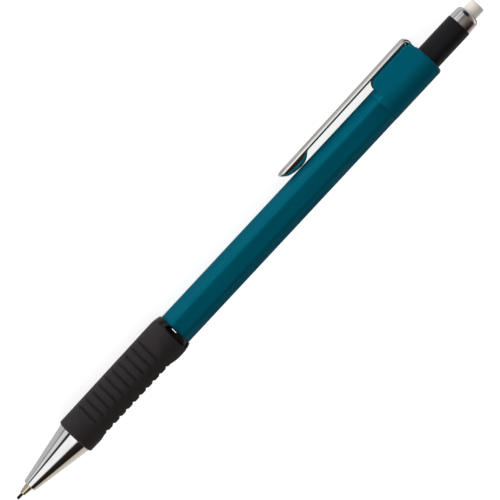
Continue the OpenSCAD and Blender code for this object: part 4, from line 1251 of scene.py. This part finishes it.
def look(studio, along, facing):
    """The camera, which sees the pencil at its slant from a given direction."""
    below = along.cross(facing)
    middle = BENCH @ Vector((0, 0, studio.view_centre)) + below * studio.view_shift
    cosine, sine = math.cos(studio.view_slant), math.sin(studio.view_slant)
    right = along * cosine + below * sine
    up = along * sine - below * cosine
    data = bpy.data.cameras.new("Camera")
    data.sensor_width = 36
    data.lens = data.sensor_width * studio.view_distance / studio.view_width
    data.clip_start = 0.01
    made = bpy.data.objects.new("Camera", data)
    bpy.context.collection.objects.link(made)
    stance = Matrix((right, up, facing)).transposed().to_4x4()
    made.matrix_world = Matrix.Translation(middle + facing * studio.view_distance) @ stance
    return made


class PENCIL_OT_studio(bpy.types.Operator):
    """Floor, room, lamps and camera"""

    bl_idname = "pencil.studio"
    bl_label = "Studio"

    def execute(self, context):
        studio = context.scene.pencil_studio
        axis = BENCH.translation
        reach, floor_z = 20, CAD_BOX[0].z - 0.05 * MM
        corners = [(-reach, -reach, floor_z), (reach, -reach, floor_z), (reach, reach, floor_z),
                   (-reach, reach, floor_z)]
        floor = card("Floor", corners, floor_finish())
        # The flag stands behind the pencil, from its housing to its grip, and shows in reflections only
        flag_y, flag_top = axis.y + 32 * MM, 15 * MM
        rear_x, front_x = box("clip_housing")[0].x - 2 * MM, box("grip_sleeve")[1].x - 2 * MM
        corners = [(rear_x, flag_y, 0), (front_x, flag_y, 0), (front_x, flag_y, flag_top),
                   (rear_x, flag_y, flag_top)]
        flag = card("Flag", corners, flag_finish())
        flag.visible_camera = False
        flag.visible_diffuse = False
        flag.visible_shadow = False
        flag.visible_transmission = False
        context.scene.world = room(studio)

        along = Vector((-1, 0, 0))
        facing = Vector((0, -math.cos(studio.view_rise), math.sin(studio.view_rise)))
        context.scene.camera = look(studio, along, facing)

        middle = Vector((0, axis.y, axis.z))
        lamp("Key", middle + KEY_PLACE, middle, KEY_SIZE, studio.key_power)
        lamp("Fill", middle + FILL_PLACE, middle, FILL_SIZE, studio.fill_power)
        paper = Vector((0, axis.y - BOUNCE_OFF, CAD_BOX[0].z))
        lamp("Bounce", paper, paper + Vector((0, 0, 1)), BOUNCE_SIZE, studio.bounce_power)
        lamp("Strip", middle + STRIP_PLACE, middle, STRIP_SIZE, studio.strip_power,
             ("Barrel", "Clip_housing"))
        collar = BENCH @ Vector((0, 0, front("barrel") - 0.3 * MM))
        spot = collar + (facing * math.cos(SPOT_TILT) + along * math.sin(SPOT_TILT)) * SPOT_DISTANCE
        lamp("Spot", spot, collar, SPOT_SIZE, studio.spot_power, ("Core_and_collar",))
        context.scene.view_settings.view_transform = "Standard"
        return {"FINISHED"}


# Add-on


STEPS = (PENCIL_OT_lead, PENCIL_OT_tip, PENCIL_OT_grip, PENCIL_OT_barrel, PENCIL_OT_housing, PENCIL_OT_clip,
         PENCIL_OT_eraser_end, PENCIL_OT_mechanism, PENCIL_OT_studio)


class PENCIL_PT_panel(bpy.types.Panel):
    """Steps, sizes and colours of the pencil"""

    bl_idname = "PENCIL_PT_panel"
    bl_label = "Mechanical Pencil"
    bl_space_type = "VIEW_3D"
    bl_region_type = "UI"
    bl_category = "Pencil"

    def draw(self, context):
        for step in STEPS:
            self.layout.operator(step.bl_idname)
        scene = context.scene
        for group in (scene.pencil_sizes, scene.pencil_colours, scene.pencil_studio):
            column = self.layout.box()
            for name in group.__annotations__:
                column.prop(group, name)


CLASSES = (PencilSizes, PencilColours, PencilStudio, *STEPS, PENCIL_PT_panel)


def register():
    for kind in CLASSES:
        bpy.utils.register_class(kind)
    bpy.types.Scene.pencil_sizes = PointerProperty(type=PencilSizes)
    bpy.types.Scene.pencil_colours = PointerProperty(type=PencilColours)
    bpy.types.Scene.pencil_studio = PointerProperty(type=PencilStudio)


def unregister():
    del bpy.types.Scene.pencil_studio
    del bpy.types.Scene.pencil_colours
    del bpy.types.Scene.pencil_sizes
    for kind in reversed(CLASSES):
        bpy.utils.unregister_class(kind)


def main():
    """Builds the pencil and its studio."""
    register()
    bpy.ops.pencil.lead()
    bpy.ops.pencil.tip()
    bpy.ops.pencil.grip()
    bpy.ops.pencil.barrel()
    bpy.ops.pencil.housing()
    bpy.ops.pencil.clip()
    bpy.ops.pencil.eraser_end()
    bpy.ops.pencil.mechanism()
    bpy.ops.pencil.studio()


if __name__ == "__main__":
    main()
